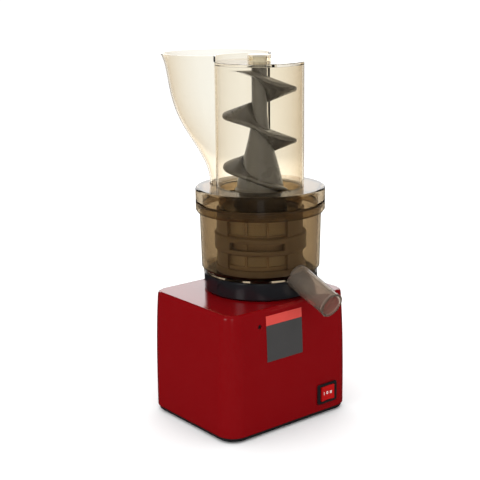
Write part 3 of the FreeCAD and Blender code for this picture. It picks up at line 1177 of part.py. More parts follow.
# Lid set
def lid():
    skirt_inner = DRUM_RIM_RADIUS + LID_RIM_GAP
    chamfer = LID_SKIRT_CHAMFER
    tube_inner = TUBE_RADIUS - TUBE_WALL
    body = revolve([(tube_inner, LID_TOP_Z), (tube_inner, LID_TOP_Z - LID_PLATE),
                    (skirt_inner, LID_TOP_Z - LID_PLATE), (skirt_inner, LID_SKIRT_BOTTOM_Z),
                    (LID_RADIUS - chamfer + 1, LID_SKIRT_BOTTOM_Z), (LID_RADIUS, LID_SKIRT_BOTTOM_Z + chamfer),
                    (LID_RADIUS, LID_TOP_Z)])
    rim = [edge for edge in body.Edges
           if edge.BoundBox.ZMin > LID_TOP_Z - 1e-3 and edge.BoundBox.XMax > LID_RADIUS - 1e-3]
    body = body.makeFillet(LID_EDGE_ROUND, rim)
    neck_outer = tube_inner
    neck = tube(neck_outer, neck_outer - LID_NECK_WALL, STRAINER_TOP_Z + LID_NECK_GAP, LID_TOP_Z)
    groove = gasket_shape()
    bead = tube(skirt_inner + 1, GASKET_INNER - 2, GASKET_Z + GASKET_HEIGHT / 2, LID_TOP_Z - LID_PLATE / 2)
    return fuse_all([body, neck, bead]).cut(groove)


def gasket_shape():
    return tube(GASKET_INNER + GASKET_WIDTH, GASKET_INNER, GASKET_Z + SEAL_GAP, GASKET_Z + GASKET_HEIGHT)


def feed_tube():
    wall = tube(TUBE_RADIUS, TUBE_RADIUS - TUBE_WALL, LID_TOP_Z, TUBE_TOP_Z)
    spread = 2 * HOPPER_ATTACH_ANGLE - 2 * math.degrees(HOPPER_WALL / TUBE_RADIUS)
    window = sector(TUBE_RADIUS + 5, TUBE_RADIUS - TUBE_WALL - 5, LID_TOP_Z + WINDOW_ABOVE_LID, TUBE_TOP_Z + 1, 90,
                    spread)
    return wall.cut(window)


def tube_cap():
    """Disc on top of the tube with a round boss, hollow inside for the auger's bush."""
    top = TUBE_TOP_Z + CAP_THICKNESS
    disc = cylinder(TUBE_RADIUS, TUBE_TOP_Z, top)
    rims = [edge for edge in disc.Edges if edge.BoundBox.ZMin > top - 1e-6 and edge.Closed]
    disc = disc.makeFillet(1.0, rims)
    boss = cylinder(CAP_BOSS_RADIUS, top - 1, CAP_BOSS_TOP_Z)
    room = cylinder(CAP_BOSS_RADIUS - CAP_BOSS_WALL, TUBE_TOP_Z - 1, CAP_BOSS_TOP_Z - CAP_BOSS_WALL)
    keep = tube(CAP_BOSS_RADIUS, AUGER_PIN_RADIUS + BUSH_WALL, TUBE_TOP_Z, TUBE_TOP_Z + CAP_THICKNESS / 2)
    return fuse_all([fuse_all([disc, boss]).cut(room), keep])


def auger_top_bush():
    bottom = TUBE_TOP_Z + CAP_THICKNESS / 2
    outer = CAP_BOSS_RADIUS - CAP_BOSS_WALL
    top = CAP_BOSS_TOP_Z - CAP_BOSS_WALL
    flange = cylinder(outer, bottom, bottom + 2)
    core = cylinder(AUGER_PIN_RADIUS + BUSH_WALL, TUBE_TOP_Z, top)
    pin_room = cylinder(AUGER_PIN_RADIUS + SHAFT_FIT, TUBE_TOP_Z - 1, AUGER_PIN_TOP_Z + DRIVE_END_GAP)
    return fuse_all([flange, core]).cut(pin_room)


def hopper_section(z, back, offset):
    """Plan of the hopper at one height: a circle from one edge of the tube's window round to the other."""
    attach = polar(TUBE_RADIUS, 90 - HOPPER_ATTACH_ANGLE)
    centre_y = (back ** 2 - TUBE_RADIUS ** 2) / (2 * (back - attach.y))
    radius = back - centre_y
    start = math.degrees(math.atan2(attach.y - centre_y, attach.x))
    centre = Vector(0, centre_y, z)
    outer = [centre + polar(radius, angle) for angle in (start, 90, 180 - start)]
    inner = [centre + polar(radius - offset, angle) for angle in (180 - start, 90, start)]
    return Part.Wire([Part.Arc(*outer).toShape(), Part.makeLine(outer[2], inner[0]), Part.Arc(*inner).toShape(),
                      Part.makeLine(inner[2], outer[0])])


def feed_hopper():
    wires = [hopper_section(z, back, HOPPER_WALL) for z, back in HOPPER_BACKS]
    scoop = Part.makeLoft(wires, True, False).cut(cylinder(TUBE_RADIUS, LID_TOP_Z - 1, HOPPER_RIM_Z + 1))
    lip_bottom = TUBE_TOP_Z + CAP_THICKNESS
    lip = sector(TUBE_RADIUS + 0.8, TUBE_RADIUS - HOPPER_WALL + 0.8, lip_bottom, HOPPER_RIM_Z, 90,
                 2 * HOPPER_ATTACH_ANGLE)
    return fuse_all([scoop, lip])


NODES = {
    "rubber_feet": rubber_feet,
    "base_plate": base_plate,
    "base_screws": base_screws,
    "motor_housing": motor_housing,
    "front_screw": front_screw,
    "switch_bezel": switch_bezel,
    "switch_rocker": switch_rocker,
    "switch_terminals": switch_terminals,
    "power_inlet": power_inlet,
    "inlet_pins": inlet_pins,
    "stator_core": stator_core,
    "stator_windings": stator_windings,
    "motor_lower_bracket": lambda: bracket(LOWER_BRACKET_Z, True),
    "motor_upper_bracket": lambda: bracket(UPPER_BRACKET_Z, False),
    "motor_bearings": motor_bearings,
    "motor_bolts": motor_bolts,
    "rotor_core": rotor_core,
    "motor_shaft": motor_shaft,
    "cooling_fan": cooling_fan,
    "gearbox_case": gearbox_case,
    "gearbox_cover": gearbox_cover,
    "gearbox_screws": gearbox_screws,
    "output_bearings": output_bearings,
    "layshaft": layshaft,
    "layshaft_wheel": layshaft_wheel,
    "output_wheel": output_wheel,
    "drive_shaft": drive_shaft,
    "drum_seat_collar": drum_seat_collar,
    "collar_screws": collar_screws,
    "juice_drum": juice_drum,
    "juice_spout": juice_spout,
    "pulp_chute": pulp_chute,
    "drum_shaft_seal": drum_shaft_seal,
    "strainer_frame": strainer_frame,
    "lower_mesh": lower_mesh,
    "upper_mesh": upper_mesh,
    "window_screen": window_screen,
    "brush_frame": brush_frame,
    "brush_wipers": brush_wipers,
    "idler_gear_right": lambda: idler_gear(1),
    "idler_gear_left": lambda: idler_gear(-1),
    "auger": auger,
    "lid": lid,
    "lid_gasket": gasket_shape,
    "feed_tube": feed_tube,
    "tube_cap": tube_cap,
    "auger_top_bush": auger_top_bush,
    "feed_hopper": feed_hopper,
}

os.makedirs("parts", exist_ok=True)
for name, make in NODES.items():
    shape = make()
    shape.translate(TO_ORIGIN)
    shape.exportStep(os.path.join("parts", name + ".step"))
    print(name, "solids", len(shape.Solids), "volume", round(shape.Volume, 1), "valid", shape.isValid())
print("drum axis at", round(TO_ORIGIN.x, 3), round(TO_ORIGIN.y, 3))
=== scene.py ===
import bmesh
import bpy
import math
from mathutils import Matrix, Vector
from mathutils.bvhtree import BVHTree


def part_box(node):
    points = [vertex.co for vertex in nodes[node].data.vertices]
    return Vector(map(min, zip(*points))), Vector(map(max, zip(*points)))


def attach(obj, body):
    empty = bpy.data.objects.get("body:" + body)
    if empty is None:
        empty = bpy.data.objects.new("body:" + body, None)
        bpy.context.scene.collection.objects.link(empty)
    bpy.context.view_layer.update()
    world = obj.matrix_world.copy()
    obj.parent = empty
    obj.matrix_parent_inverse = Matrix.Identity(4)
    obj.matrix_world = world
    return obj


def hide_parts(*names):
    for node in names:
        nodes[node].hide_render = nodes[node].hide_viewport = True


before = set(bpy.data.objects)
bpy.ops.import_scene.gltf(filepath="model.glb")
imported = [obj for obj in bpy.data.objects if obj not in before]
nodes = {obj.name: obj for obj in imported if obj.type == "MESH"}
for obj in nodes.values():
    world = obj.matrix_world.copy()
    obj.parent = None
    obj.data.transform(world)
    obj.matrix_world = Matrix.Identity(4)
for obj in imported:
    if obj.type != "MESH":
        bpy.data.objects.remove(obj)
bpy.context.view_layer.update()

# The drum's axis stands upright through the middle of the lid.
LID_LOW, LID_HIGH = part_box("lid")
AXIS = Vector(((LID_LOW[0] + LID_HIGH[0]) / 2, (LID_LOW[1] + LID_HIGH[1]) / 2, 0))

# Camera: place relative to the drum's axis, and direction
CAMERA_OFFSET = Vector((-0.8917, -1.0671, 0.5813))
CAMERA_AZIMUTH = -38.72
CAMERA_ELEVATION = 13.86
CAMERA_ROLL = -0.71
CAMERA_LENS = 78.1
CAMERA_SENSOR = 36.0

# Colours of the clear plastics, for one wall seen straight and seen along its edge
AMBER_LIGHT = ((0.915, 0.87, 0.765), (0.54, 0.40, 0.23))
AMBER_PALE = ((0.945, 0.93, 0.875), (0.72, 0.59, 0.41))
AMBER_DARK = ((0.54, 0.45, 0.32), (0.20, 0.13, 0.07))
SMOKE_CLEAR = ((0.56, 0.48, 0.40), (0.16, 0.12, 0.09))

# Moulded plastics and metals: mottling and grain in noise cells per metre, depths in metres
MOTTLE_SCALE = 45.0
ROUGHNESS_SPREAD = (0.8, 1.25)
COAT_ROUGHNESS = 0.04
GRAIN_DEPTH = 0.0002
EDGE_SAMPLES = 4

# Clear plastics: how soon the edge tint sets in, and the slight ripple of their walls
EDGE_BLEND = 0.35
RIPPLE_SCALE = 60.0
RIPPLE_SPREAD = (0.9, 1.1)
CLEAR_ROUGHNESS = (0.018, 0.042)
WAVE_SCALE = 25.0
WAVE_BUMP = 0.04
WAVE_DEPTH = 0.0005

# Studio: radiance of the white surround, and of what outer reflections see of it
SURROUND = 1.1
SURROUND_IN_REFLECTIONS = 0.02

# Floor: half size in metres, and its nearly even white
FLOOR_REACH = 6.0
FLOOR_CELLS = 8
FLOOR_WHITE = 0.97
FLOOR_SPREAD = 0.01
FLOOR_DUST_SCALE = 3.0
FLOOR_ROUGHNESS = 0.9

# Lamps round the part: azimuth from the camera's, distance and height, size, radiance
LAMPS = {
    "strip_front": ((0, 1.5, 0.45), (0.34, 1.0), 0.9),
    "soft_left": ((-43, 1.3, 0.5), (0.36, 0.9), 1.9),
    "card_behind": ((180, 2.0, 0.72), (2.4, 0.7), 2.1),
}
TOP_LAMP_OFFSET = Vector((-0.3, -0.2, 1.6))
TOP_LAMP_SIZE = (1.4, 1.4)
TOP_LAMP_RADIANCE = 0.8
LAMP_TARGET = Vector((0, 0, 0.27))
BOUNCES = 20
TRANSPARENT_BOUNCES = 24

# Bare two-tone panel on the front: sides from the drum's axis and heights, in metres
PANEL_LEFT = -0.0660
PANEL_RIGHT = -0.0045
PANEL_BOTTOM = 0.1012
PANEL_TOP = 0.1632
PANEL_BAND = 0.0128
PANEL_THICKNESS = 0.0004
PANEL_STEPS = 16
PROBE_MARGIN = 0.05

# Switch marks
MARK_HEIGHT = 0.0042
MARK_STROKE = 0.00085
MARK_PITCH = 0.0062
MARK_LIFT = 0.00012
RING_SIDES = 24
RING_OUTER_WIDTH = 0.8
RING_INNER_WIDTH = 0.75

# Perforated sleeves of the strainer
HOLE_PITCH = 0.0031
HOLE_SHARE = 0.62
HOLE_SIDES = 8
HOLE_WELD = 0.02
SHEET_THICKNESS = 0.0006

# Feed blade of the auger: heights and radii in metres, angles in degrees, on the drum's axis
BLADE_PITCH = 0.069
BLADE_TIP_AZIMUTH = -38.7
BLADE_TIP_HEIGHT = 0.444
BLADE_LOW = 0.304
BLADE_FADE = 0.318
BLADE_CUT = 0.4695
BLADE_REACH = 0.050
BLADE_WAIST = 0.022
BLADE_WAIST_OVER_CORE = 0.003
BLADE_LOBE_POWER = 2.2
BLADE_LEAST = 0.0012
BLADE_EDGE = 0.0058
BLADE_SLOPE = 0.36
BLADE_ROUNDING = 0.0016
BLADE_FLANK = (0.0, 0.25, 0.5, 0.75, 1.0)
BLADE_NOSE = ((0.35, 0.38), (0.0, 0.15))
BLADE_SINK = 0.0015
BLADE_STEP = 5.0
BLADE_WELD = 0.00002

# Core of the auger: heights and radii
AUGER_CORE = ((0.304, 0.0340), (0.3125, 0.0325), (0.325, 0.0295), (0.3425, 0.0245), (0.3606, 0.0202),
              (0.390, 0.0132), (0.422, 0.0105), (0.476, 0.0105))


# Node helpers
def new_material(name):
    material = bpy.data.materials.new(name)
    material.use_nodes = True
    tree = material.node_tree
    return material, tree, tree.nodes["Principled BSDF"]


def add_node(tree, kind, **values):
    node = tree.nodes.new(kind)
    for key, value in values.items():
        node.inputs[key].default_value = value
    return node


def noise(tree, scale, detail=3.0):
    """Noise in the object's own coordinates, in metres."""
    coordinates = tree.nodes.new("ShaderNodeTexCoord")
    texture = add_node(tree, "ShaderNodeTexNoise", Scale=scale, Detail=detail)
    tree.links.new(coordinates.outputs["Object"], texture.inputs["Vector"])
    return texture


def mapped(tree, source, low, high):
    """A source from 0 to 1, spread from low to high."""
    node = tree.nodes.new("ShaderNodeMapRange")
    node.inputs["To Min"].default_value = low
    node.inputs["To Max"].default_value = high
    tree.links.new(source, node.inputs["Value"])
    return node.outputs["Result"]


def bumped(tree, shader, source, strength, distance, rounding=0.0):
    """Bump from a source, over edges that look rounded by a radius."""
    bump = add_node(tree, "ShaderNodeBump", Strength=strength, Distance=distance)
    tree.links.new(source, bump.inputs["Height"])
    if rounding > 0:
        bevel = add_node(tree, "ShaderNodeBevel", Radius=rounding)
        bevel.samples = EDGE_SAMPLES
        tree.links.new(bevel.outputs["Normal"], bump.inputs["Normal"])
    tree.links.new(bump.outputs["Normal"], shader.inputs["Normal"])


def product(tree, first, second):
    node = tree.nodes.new("ShaderNodeMath")
    node.operation = "MULTIPLY"
    tree.links.new(first, node.inputs[0])
    tree.links.new(second, node.inputs[1])
    return node.outputs["Value"]


def two_tone(tree, source, low, high):
    mix = tree.nodes.new("ShaderNodeMix")
    mix.data_type = "RGBA"
    mix.inputs["A"].default_value = (*low, 1.0)
    mix.inputs["B"].default_value = (*high, 1.0)
    tree.links.new(source, mix.inputs["Factor"])
    return mix.outputs["Result"]


# Materials
def plastic(name, color, roughness, grain=900.0, bump=0.05, coat=0.0, spread=0.1, rounding=0.0006, metallic=0.0):
    """Moulded plastic or metal: slight mottling, a fine grain and softened edges."""
    material, tree, shader = new_material(name)
    mottle = noise(tree, MOTTLE_SCALE)
    low = tuple(channel * (1 - spread) for channel in color)
    high = tuple(min(1.0, channel * (1 + spread)) for channel in color)
    tree.links.new(two_tone(tree, mottle.outputs["Fac"], low, high), shader.inputs["Base Color"])
    tree.links.new(mapped(tree, mottle.outputs["Fac"], *(roughness * share for share in ROUGHNESS_SPREAD)),
                   shader.inputs["Roughness"])
    shader.inputs["Metallic"].default_value = metallic
    shader.inputs["Coat Weight"].default_value = coat
    shader.inputs["Coat Roughness"].default_value = COAT_ROUGHNESS
    bumped(tree, shader, noise(tree, grain, 2.0).outputs["Fac"], bump, GRAIN_DEPTH, rounding)
    return material


def clear_plastic(name, colors, ior=1.25, clarity=1.0):
    """Clear tinted plastic: darker where it is seen along its wall, and tinted light passes through it."""
    material, tree, shader = new_material(name)
    facing = add_node(tree, "ShaderNodeLayerWeight", Blend=EDGE_BLEND)
    ripple = noise(tree, RIPPLE_SCALE).outputs["Fac"]
    tint = two_tone(tree, product(tree, facing.outputs["Facing"], mapped(tree, ripple, *RIPPLE_SPREAD)), *colors)
    tree.links.new(tint, shader.inputs["Base Color"])
    tree.links.new(mapped(tree, ripple, *CLEAR_ROUGHNESS), shader.inputs["Roughness"])
    shader.inputs["Transmission Weight"].default_value = clarity
    shader.inputs["IOR"].default_value = ior
    bumped(tree, shader, noise(tree, WAVE_SCALE).outputs["Fac"], WAVE_BUMP, WAVE_DEPTH)
    passing = tree.nodes.new("ShaderNodeBsdfTransparent")
    tree.links.new(tint, passing.inputs["Color"])
    light_path = tree.nodes.new("ShaderNodeLightPath")
    mix = tree.nodes.new("ShaderNodeMixShader")
    tree.links.new(light_path.outputs["Is Shadow Ray"], mix.inputs["Fac"])
    tree.links.new(shader.outputs["BSDF"], mix.inputs[1])
    tree.links.new(passing.outputs["BSDF"], mix.inputs[2])
    tree.links.new(mix.outputs["Shader"], tree.nodes["Material Output"].inputs["Surface"])
    return material


def make_materials():
    return {
        "red": plastic("red_gloss", (0.185, 0.0009, 0.0024), 0.14, 300.0, 0.015, coat=0.15, spread=0.03,
                       rounding=0.0008),
        "black": plastic("black_satin", (0.012, 0.012, 0.013), 0.38, 1400.0, 0.12),
        "collar": plastic("collar_black", (0.011, 0.011, 0.013), 0.2, 500.0, 0.03, coat=0.2, rounding=0.0012),
        "rubber": plastic("foot_rubber", (0.012, 0.012, 0.012), 0.7, 1800.0, 0.3),
        "auger": plastic("auger_grey", (0.074, 0.070, 0.066), 0.28, 700.0, 0.06, coat=0.25, spread=0.12,
                         rounding=0.001),
        "brush": plastic("brush_brown", (0.240, 0.190, 0.145), 0.33, 900.0, 0.08, rounding=0.0008),
        "strainer": plastic("strainer_brown", (0.36, 0.28, 0.20), 0.3, 900.0, 0.05),
        "mesh": plastic("mesh_steel", (0.78, 0.68, 0.52), 0.3, 1200.0, 0.05, spread=0.06, metallic=0.45),
        "silicone": plastic("silicone_red", (0.30, 0.035, 0.03), 0.5, 900.0, 0.1),
        "gasket": plastic("gasket_brown", (0.11, 0.075, 0.045), 0.45, 900.0, 0.08),
        "gear": plastic("gear_white", (0.72, 0.71, 0.66), 0.42, 900.0, 0.06),
        "steel": plastic("bright_steel", (0.62, 0.62, 0.62), 0.24, 1500.0, 0.05, metallic=1.0),
        "dark_steel": plastic("dark_screw", (0.03, 0.03, 0.032), 0.35, 1500.0, 0.1, metallic=0.6),
        "core": plastic("core_steel", (0.22, 0.22, 0.23), 0.45, 2500.0, 0.3, metallic=0.8),
        "copper": plastic("winding_copper", (0.62, 0.23, 0.08), 0.35, 2500.0, 0.6, metallic=0.8),
        "brass": plastic("brass", (0.70, 0.52, 0.22), 0.3, 1500.0, 0.05, metallic=1.0),
        "alloy": plastic("cast_alloy", (0.46, 0.46, 0.47), 0.48, 1600.0, 0.3, metallic=0.9),
        "rocker": plastic("rocker_red", (0.40, 0.004, 0.004), 0.14, 400.0, 0.02, coat=0.2, spread=0.05),
        "panel_dark": plastic("panel_dark", (0.054, 0.052, 0.051), 0.42, 2200.0, 0.04, rounding=0.0),
        "panel_red": plastic("panel_red", (0.62, 0.050, 0.036), 0.4, 2200.0, 0.04, rounding=0.0),
        "mark": plastic("mark_white", (0.80, 0.80, 0.78), 0.5, 2200.0, 0.02, rounding=0.0),
        "amber_light": clear_plastic("amber_light", AMBER_LIGHT, ior=1.18),
        "amber_pale": clear_plastic("amber_pale", AMBER_PALE, ior=1.12),
        "amber_dark": clear_plastic("amber_dark", AMBER_DARK),
        "smoke": clear_plastic("smoke_clear", SMOKE_CLEAR, clarity=0.88),
    }


FINISHES = {
    "red": ["motor_housing"],
    "black": ["base_plate", "switch_bezel", "power_inlet", "cooling_fan"],
    "collar": ["drum_seat_collar"],
    "rubber": ["rubber_feet"],
    "auger": ["auger"],
    "brush": ["brush_frame"],
    "strainer": ["strainer_frame", "window_screen"],
    "mesh": ["lower_mesh", "upper_mesh"],
    "silicone": ["drum_shaft_seal", "brush_wipers"],
    "gasket": ["lid_gasket"],
    "gear": ["layshaft_wheel", "idler_gear_right", "idler_gear_left", "auger_top_bush"],
    "steel": ["motor_bearings", "motor_bolts", "motor_shaft", "gearbox_screws", "output_bearings", "layshaft",
              "output_wheel", "drive_shaft", "collar_screws"],
    "dark_steel": ["base_screws", "front_screw"],
    "core": ["stator_core", "rotor_core"],
    "copper": ["stator_windings"],
    "brass": ["switch_terminals", "inlet_pins"],
    "alloy": ["motor_lower_bracket", "motor_upper_bracket", "gearbox_case", "gearbox_cover"],
    "rocker": ["switch_rocker"],
    "amber_light": ["feed_tube", "tube_cap"],
    "amber_pale": ["feed_hopper"],
    "amber_dark": ["juice_drum", "lid", "pulp_chute"],
    "smoke": ["juice_spout"],
}


def finish_nodes(materials):
    for finish, names in FINISHES.items():
        for name in names:
            for place in nodes[name].material_slots:
                place.material = materials[finish]


# Mesh helpers
def mesh_object(name, bm, material, smooth=False):
    mesh = bpy.data.meshes.new(name)
    bmesh.ops.recalc_face_normals(bm, faces=bm.faces)
    bm.to_mesh(mesh)
    bm.free()
    for polygon in mesh.polygons:
        polygon.use_smooth = smooth
    mesh.materials.append(material)
    piece = bpy.data.objects.new(name, mesh)
    bpy.context.collection.objects.link(piece)
    return piece


def front_surface(node):
    """Function giving the y of a node's foremost surface at (x, z), in the row frame."""
    source = nodes[node]
    tree = BVHTree.FromObject(source, bpy.context.evaluated_depsgraph_get())
    low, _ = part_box(node)
    start = low[1] - PROBE_MARGIN
    inverse = source.matrix_world.inverted()
    forward = inverse.to_3x3() @ Vector((0, 1, 0))

    def surface(x, z):
        hit, _, _, _ = tree.ray_cast(inverse @ Vector((x, start, z)), forward)
        return (source.matrix_world @ hit).y if hit else low[1]

    return surface


def plate_on_surface(name, surface, x_range, z_range, material):
    """Thin plate that follows a surface behind it, with a closed edge all round."""
    steps = PANEL_STEPS
    bm = bmesh.new()
    layers = []
    for lift in (PANEL_THICKNESS, 0.0):
        rows = []
        for j in range(steps + 1):
            z = z_range[0] + (z_range[1] - z_range[0]) * j / steps
            row = []
            for i in range(steps + 1):
                x = x_range[0] + (x_range[1] - x_range[0]) * i / steps
                row.append(bm.verts.new((x, surface(x, z) - lift, z)))
            rows.append(row)
        layers.append(rows)
    for rows in layers:
        for j in range(steps):
            for i in range(steps):
                bm.faces.new((rows[j][i], rows[j][i + 1], rows[j + 1][i + 1], rows[j + 1][i]))
    edge = [(0, i) for i in range(steps)] + [(j, steps) for j in range(steps)]
    edge += [(steps, steps - i) for i in range(steps)] + [(steps - j, 0) for j in range(steps)]
    for (j, i), (l, k) in zip(edge, edge[1:] + edge[:1]):
        bm.faces.new((layers[0][j][i], layers[0][l][k], layers[1][l][k], layers[1][j][i]))
    return mesh_object(name, bm, material)


# Bare panel on the front of the housing
def make_panel(materials):
    surface = front_surface("motor_housing")
    left, right = AXIS.x + PANEL_LEFT, AXIS.x + PANEL_RIGHT
    split = PANEL_TOP - PANEL_BAND
    pieces = [
        plate_on_surface("panel_field", surface, (left, right), (PANEL_BOTTOM, split), materials["panel_dark"]),
        plate_on_surface("panel_band", surface, (left, right), (split, PANEL_TOP), materials["panel_red"]),
    ]
    for piece in pieces:
        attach(piece, "base")


# Marks on the rocker: one bar, a ring, two bars
def bar_outline(x):
    half_w, half_h = MARK_STROKE / 2, MARK_HEIGHT / 2
    return [(x - half_w, -half_h), (x + half_w, -half_h), (x + half_w, half_h), (x - half_w, half_h)]


def ring_outlines():
    """Ring as a chain of four-cornered pieces."""
    outer, inner = MARK_HEIGHT / 2, MARK_HEIGHT / 2 - MARK_STROKE
    quads = []
    for step in range(RING_SIDES):
        a, b = 2 * math.pi * step / RING_SIDES, 2 * math.pi * (step + 1) / RING_SIDES
        quads.append([(outer * RING_OUTER_WIDTH * math.cos(a), outer * math.sin(a)),
                      (outer * RING_OUTER_WIDTH * math.cos(b), outer * math.sin(b)),
                      (inner * RING_INNER_WIDTH * math.cos(b), inner * math.sin(b)),
                      (inner * RING_INNER_WIDTH * math.cos(a), inner * math.sin(a))])
    return quads


def make_switch_marks(materials):
    surface = front_surface("switch_rocker")
    low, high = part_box("switch_rocker")
    centre_x, centre_z = (low[0] + high[0]) / 2, (low[2] + high[2]) / 2
    shapes = [bar_outline(-MARK_PITCH), *ring_outlines(),
              bar_outline(MARK_PITCH - MARK_STROKE), bar_outline(MARK_PITCH + MARK_STROKE)]
    bm = bmesh.new()
    for quad in shapes:
        places = [(centre_x + x, centre_z + z) for x, z in quad]
        bm.faces.new([bm.verts.new((x, surface(x, z) - MARK_LIFT, z)) for x, z in places])
    marks = mesh_object("switch_marks", bm, materials["mark"])
    thicken = marks.modifiers.new("thickness", "SOLIDIFY")
    thicken.thickness = MARK_LIFT
    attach(marks, "rocker")


# Perforated sleeves
def perforated_sleeve(name, node, material):
    """Thin sleeve with staggered round holes, in the place of a CAD sleeve."""
    low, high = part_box(node)
    radius = (high[0] - low[0]) / 2
    centre = Vector(((low[0] + high[0]) / 2, (low[1] + high[1]) / 2, 0))
    columns = int(2 * math.pi * radius / HOLE_PITCH) // 2 * 2
    rows = int((high[2] - low[2]) / HOLE_PITCH)
    cell_z = (high[2] - low[2]) / rows
    cell_a = 2 * math.pi / columns
    hole = HOLE_SHARE * min(cell_z, cell_a * radius) / 2
    bm = bmesh.new()

    def point(angle, z):
        return bm.verts.new((centre.x + radius * math.cos(angle), centre.y + radius * math.sin(angle), z))

    for row in range(rows):
        shift = 0.5 * cell_a * (row % 2)
        for column in range(columns):
            angle = column * cell_a + shift
            z = low[2] + (row + 0.5) * cell_z
            inner, outer = [], []
            for side in range(HOLE_SIDES):
                turn = 2 * math.pi * (side + 0.5) / HOLE_SIDES
                inner.append(point(angle + hole * math.cos(turn) / radius, z + hole * math.sin(turn)))
                reach = 0.5 / max(abs(math.cos(turn)), abs(math.sin(turn)))
                outer.append(point(angle + cell_a * reach * math.cos(turn), z + cell_z * reach * math.sin(turn)))
            for side in range(HOLE_SIDES):
                after = (side + 1) % HOLE_SIDES
                bm.faces.new((inner[side], inner[after], outer[after], outer[side]))
    bmesh.ops.remove_doubles(bm, verts=bm.verts, dist=HOLE_PITCH * HOLE_WELD)
    sleeve = mesh_object(name, bm, material, smooth=True)
    thicken = sleeve.modifiers.new("thickness", "SOLIDIFY")
    thicken.thickness = SHEET_THICKNESS
    thicken.offset = -1.0
    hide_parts(node)
    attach(sleeve, "drum")


# Feed blade of the auger
def core_radius(z):
    """Radius of the auger's core at a height."""
    for (low_z, low_r), (high_z, high_r) in zip(AUGER_CORE, AUGER_CORE[1:]):
        if z <= high_z:
            return low_r + (high_r - low_r) * max(0.0, z - low_z) / (high_z - low_z)
    return AUGER_CORE[-1][1]


def blade_reach(turn, z):
    """Outer radius of the blade: two rounded lobes per turn, waisted to just outside the core."""
    waist = max(BLADE_WAIST, core_radius(z) + BLADE_WAIST_OVER_CORE)
    power = BLADE_LOBE_POWER
    lobe = ((abs(math.cos(turn)) / BLADE_REACH) ** power + (abs(math.sin(turn)) / waist) ** power) ** (-1 / power)
    fade = min(1.0, max(0.0, (z - BLADE_LOW) / (BLADE_FADE - BLADE_LOW)))
    return core_radius(z) + max(BLADE_LEAST, (lobe - core_radius(z)) * fade)


def make_feed_blade(material):
    """Left-handed screw with lobes round the auger's core, thick at its root and cut flat at its top."""
    bm = bmesh.new()
    high = BLADE_CUT + BLADE_EDGE
    steps = int((high - BLADE_LOW) / BLADE_PITCH * 360 / BLADE_STEP)
    rings = []
    for step in range(steps + 1):
        z = BLADE_LOW + (high - BLADE_LOW) * step / steps
        turn = -2 * math.pi * (z - BLADE_TIP_HEIGHT) / BLADE_PITCH
        inner, outer = core_radius(z) - BLADE_SINK, blade_reach(turn, z)
        bend = min(BLADE_ROUNDING, (outer - inner) / 2)
        flank = outer - bend - inner
        profile = [(inner + flank * share, BLADE_EDGE / 2 + BLADE_SLOPE * flank * (1 - share))
                   for share in BLADE_FLANK]
        profile += [(outer - bend * back, BLADE_EDGE * share) for back, share in BLADE_NOSE]
        profile += [(radius, -half) for radius, half in reversed(profile)]
        angle = math.radians(BLADE_TIP_AZIMUTH) + turn
        rings.append([bm.verts.new((AXIS.x + radius * math.cos(angle), AXIS.y + radius * math.sin(angle),
                                    min(z + lift, BLADE_CUT))) for radius, lift in profile])
    count = len(rings[0])
    for before, after in zip(rings, rings[1:]):
        for side in range(count):
            other = (side + 1) % count
            bm.faces.new((before[side], before[other], after[other], after[side]))
    bm.faces.new(rings[0])
    bm.faces.new(list(reversed(rings[-1])))
    bmesh.ops.remove_doubles(bm, verts=bm.verts, dist=BLADE_WELD)
    bmesh.ops.dissolve_degenerate(bm, edges=bm.edges, dist=BLADE_WELD)
    blade = mesh_object("auger_feed_blade", bm, material, smooth=True)
    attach(blade, "auger_body")


# Studio
def area_light(name, place, target, size, radiance, in_reflections=True):
    data = bpy.data.lights.new(name, "AREA")
    data.shape = "RECTANGLE"
    data.size, data.size_y = size
    data.energy = math.pi * size[0] * size[1] * radiance
    light = bpy.data.objects.new(name, data)
    light.location = place
    light.rotation_euler = (Vector(target) - Vector(place)).to_track_quat("-Z", "Y").to_euler()
    light.visible_camera = False
    light.visible_transmission = False
    light.visible_glossy = in_reflections
    bpy.context.collection.objects.link(light)


def camera_axes():
    azimuth, elevation, roll = (math.radians(a) for a in (CAMERA_AZIMUTH, CAMERA_ELEVATION, CAMERA_ROLL))
    back = Vector((math.sin(azimuth) * math.cos(elevation), -math.cos(azimuth) * math.cos(elevation),
                   math.sin(elevation)))
    right = Vector((math.cos(azimuth), math.sin(azimuth), 0))
    up = back.cross(right)
    rolled_right = right * math.cos(roll) + up * math.sin(roll)
    rolled_up = up * math.cos(roll) - right * math.sin(roll)
    return rolled_right, rolled_up, back


def make_camera():
    data = bpy.data.cameras.new("camera")
    data.lens = CAMERA_LENS
    data.sensor_width = CAMERA_SENSOR
    camera = bpy.data.objects.new("camera", data)
    right, up, back = camera_axes()
    rotation = Matrix((right, up, back)).transposed().to_4x4()
    camera.matrix_world = Matrix.Translation(AXIS + CAMERA_OFFSET) @ rotation
    bpy.context.collection.objects.link(camera)
    bpy.context.scene.camera = camera


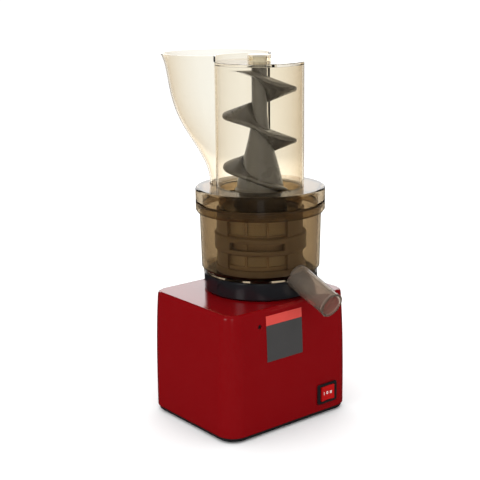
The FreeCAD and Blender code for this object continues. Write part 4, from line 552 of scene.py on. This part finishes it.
def make_floor():
    bm = bmesh.new()
    bmesh.ops.create_grid(bm, x_segments=FLOOR_CELLS, y_segments=FLOOR_CELLS, size=FLOOR_REACH)
    material, tree, shader = new_material("floor_white")
    dust = noise(tree, FLOOR_DUST_SCALE)
    low, high = (FLOOR_WHITE - FLOOR_SPREAD,) * 3, (FLOOR_WHITE + FLOOR_SPREAD,) * 3
    tree.links.new(two_tone(tree, dust.outputs["Fac"], low, high), shader.inputs["Base Color"])
    shader.inputs["Roughness"].default_value = FLOOR_ROUGHNESS
    shader.inputs["Specular IOR Level"].default_value = 0.0
    floor = mesh_object("floor", bm, material)
    floor.visible_glossy = False


def make_world():
    """White for what is seen directly or through clear plastic, and nearly dark in outer reflections."""
    world = bpy.data.worlds.new("studio")
    bpy.context.scene.world = world
    world.use_nodes = True
    tree = world.node_tree
    background = tree.nodes["Background"]
    light_path = tree.nodes.new("ShaderNodeLightPath")
    outside = tree.nodes.new("ShaderNodeMath")
    outside.operation = "LESS_THAN"
    outside.inputs[1].default_value = 0.5
    tree.links.new(light_path.outputs["Transmission Depth"], outside.inputs[0])
    outer_reflection = product(tree, light_path.outputs["Is Glossy Ray"], outside.outputs["Value"])
    tree.links.new(mapped(tree, outer_reflection, SURROUND, SURROUND_IN_REFLECTIONS), background.inputs["Strength"])
    background.inputs["Color"].default_value = (1, 1, 1, 1)


def around_part(azimuth, distance, height):
    """Place at an azimuth from the camera's own, in degrees to the right, round the drum's axis."""
    angle = math.radians(CAMERA_AZIMUTH - 90 + azimuth)
    return AXIS + Vector((distance * math.cos(angle), distance * math.sin(angle), height))


def make_lights():
    middle = AXIS + LAMP_TARGET
    for name, (place, size, radiance) in LAMPS.items():
        area_light(name, around_part(*place), middle, size, radiance)
    area_light("soft_top", AXIS + TOP_LAMP_OFFSET, middle, TOP_LAMP_SIZE, TOP_LAMP_RADIANCE, in_reflections=False)


def make_studio():
    make_camera()
    make_floor()
    make_world()
    make_lights()
    scene = bpy.context.scene
    scene.view_settings.view_transform = "Standard"
    scene.cycles.max_bounces = BOUNCES
    scene.cycles.transmission_bounces = BOUNCES
    scene.cycles.transparent_max_bounces = TRANSPARENT_BOUNCES


finishes = make_materials()
finish_nodes(finishes)
make_panel(finishes)
make_switch_marks(finishes)
perforated_sleeve("lower_mesh_sleeve", "lower_mesh", finishes["mesh"])
perforated_sleeve("upper_mesh_sleeve", "upper_mesh", finishes["mesh"])
make_feed_blade(finishes["auger"])
make_studio()
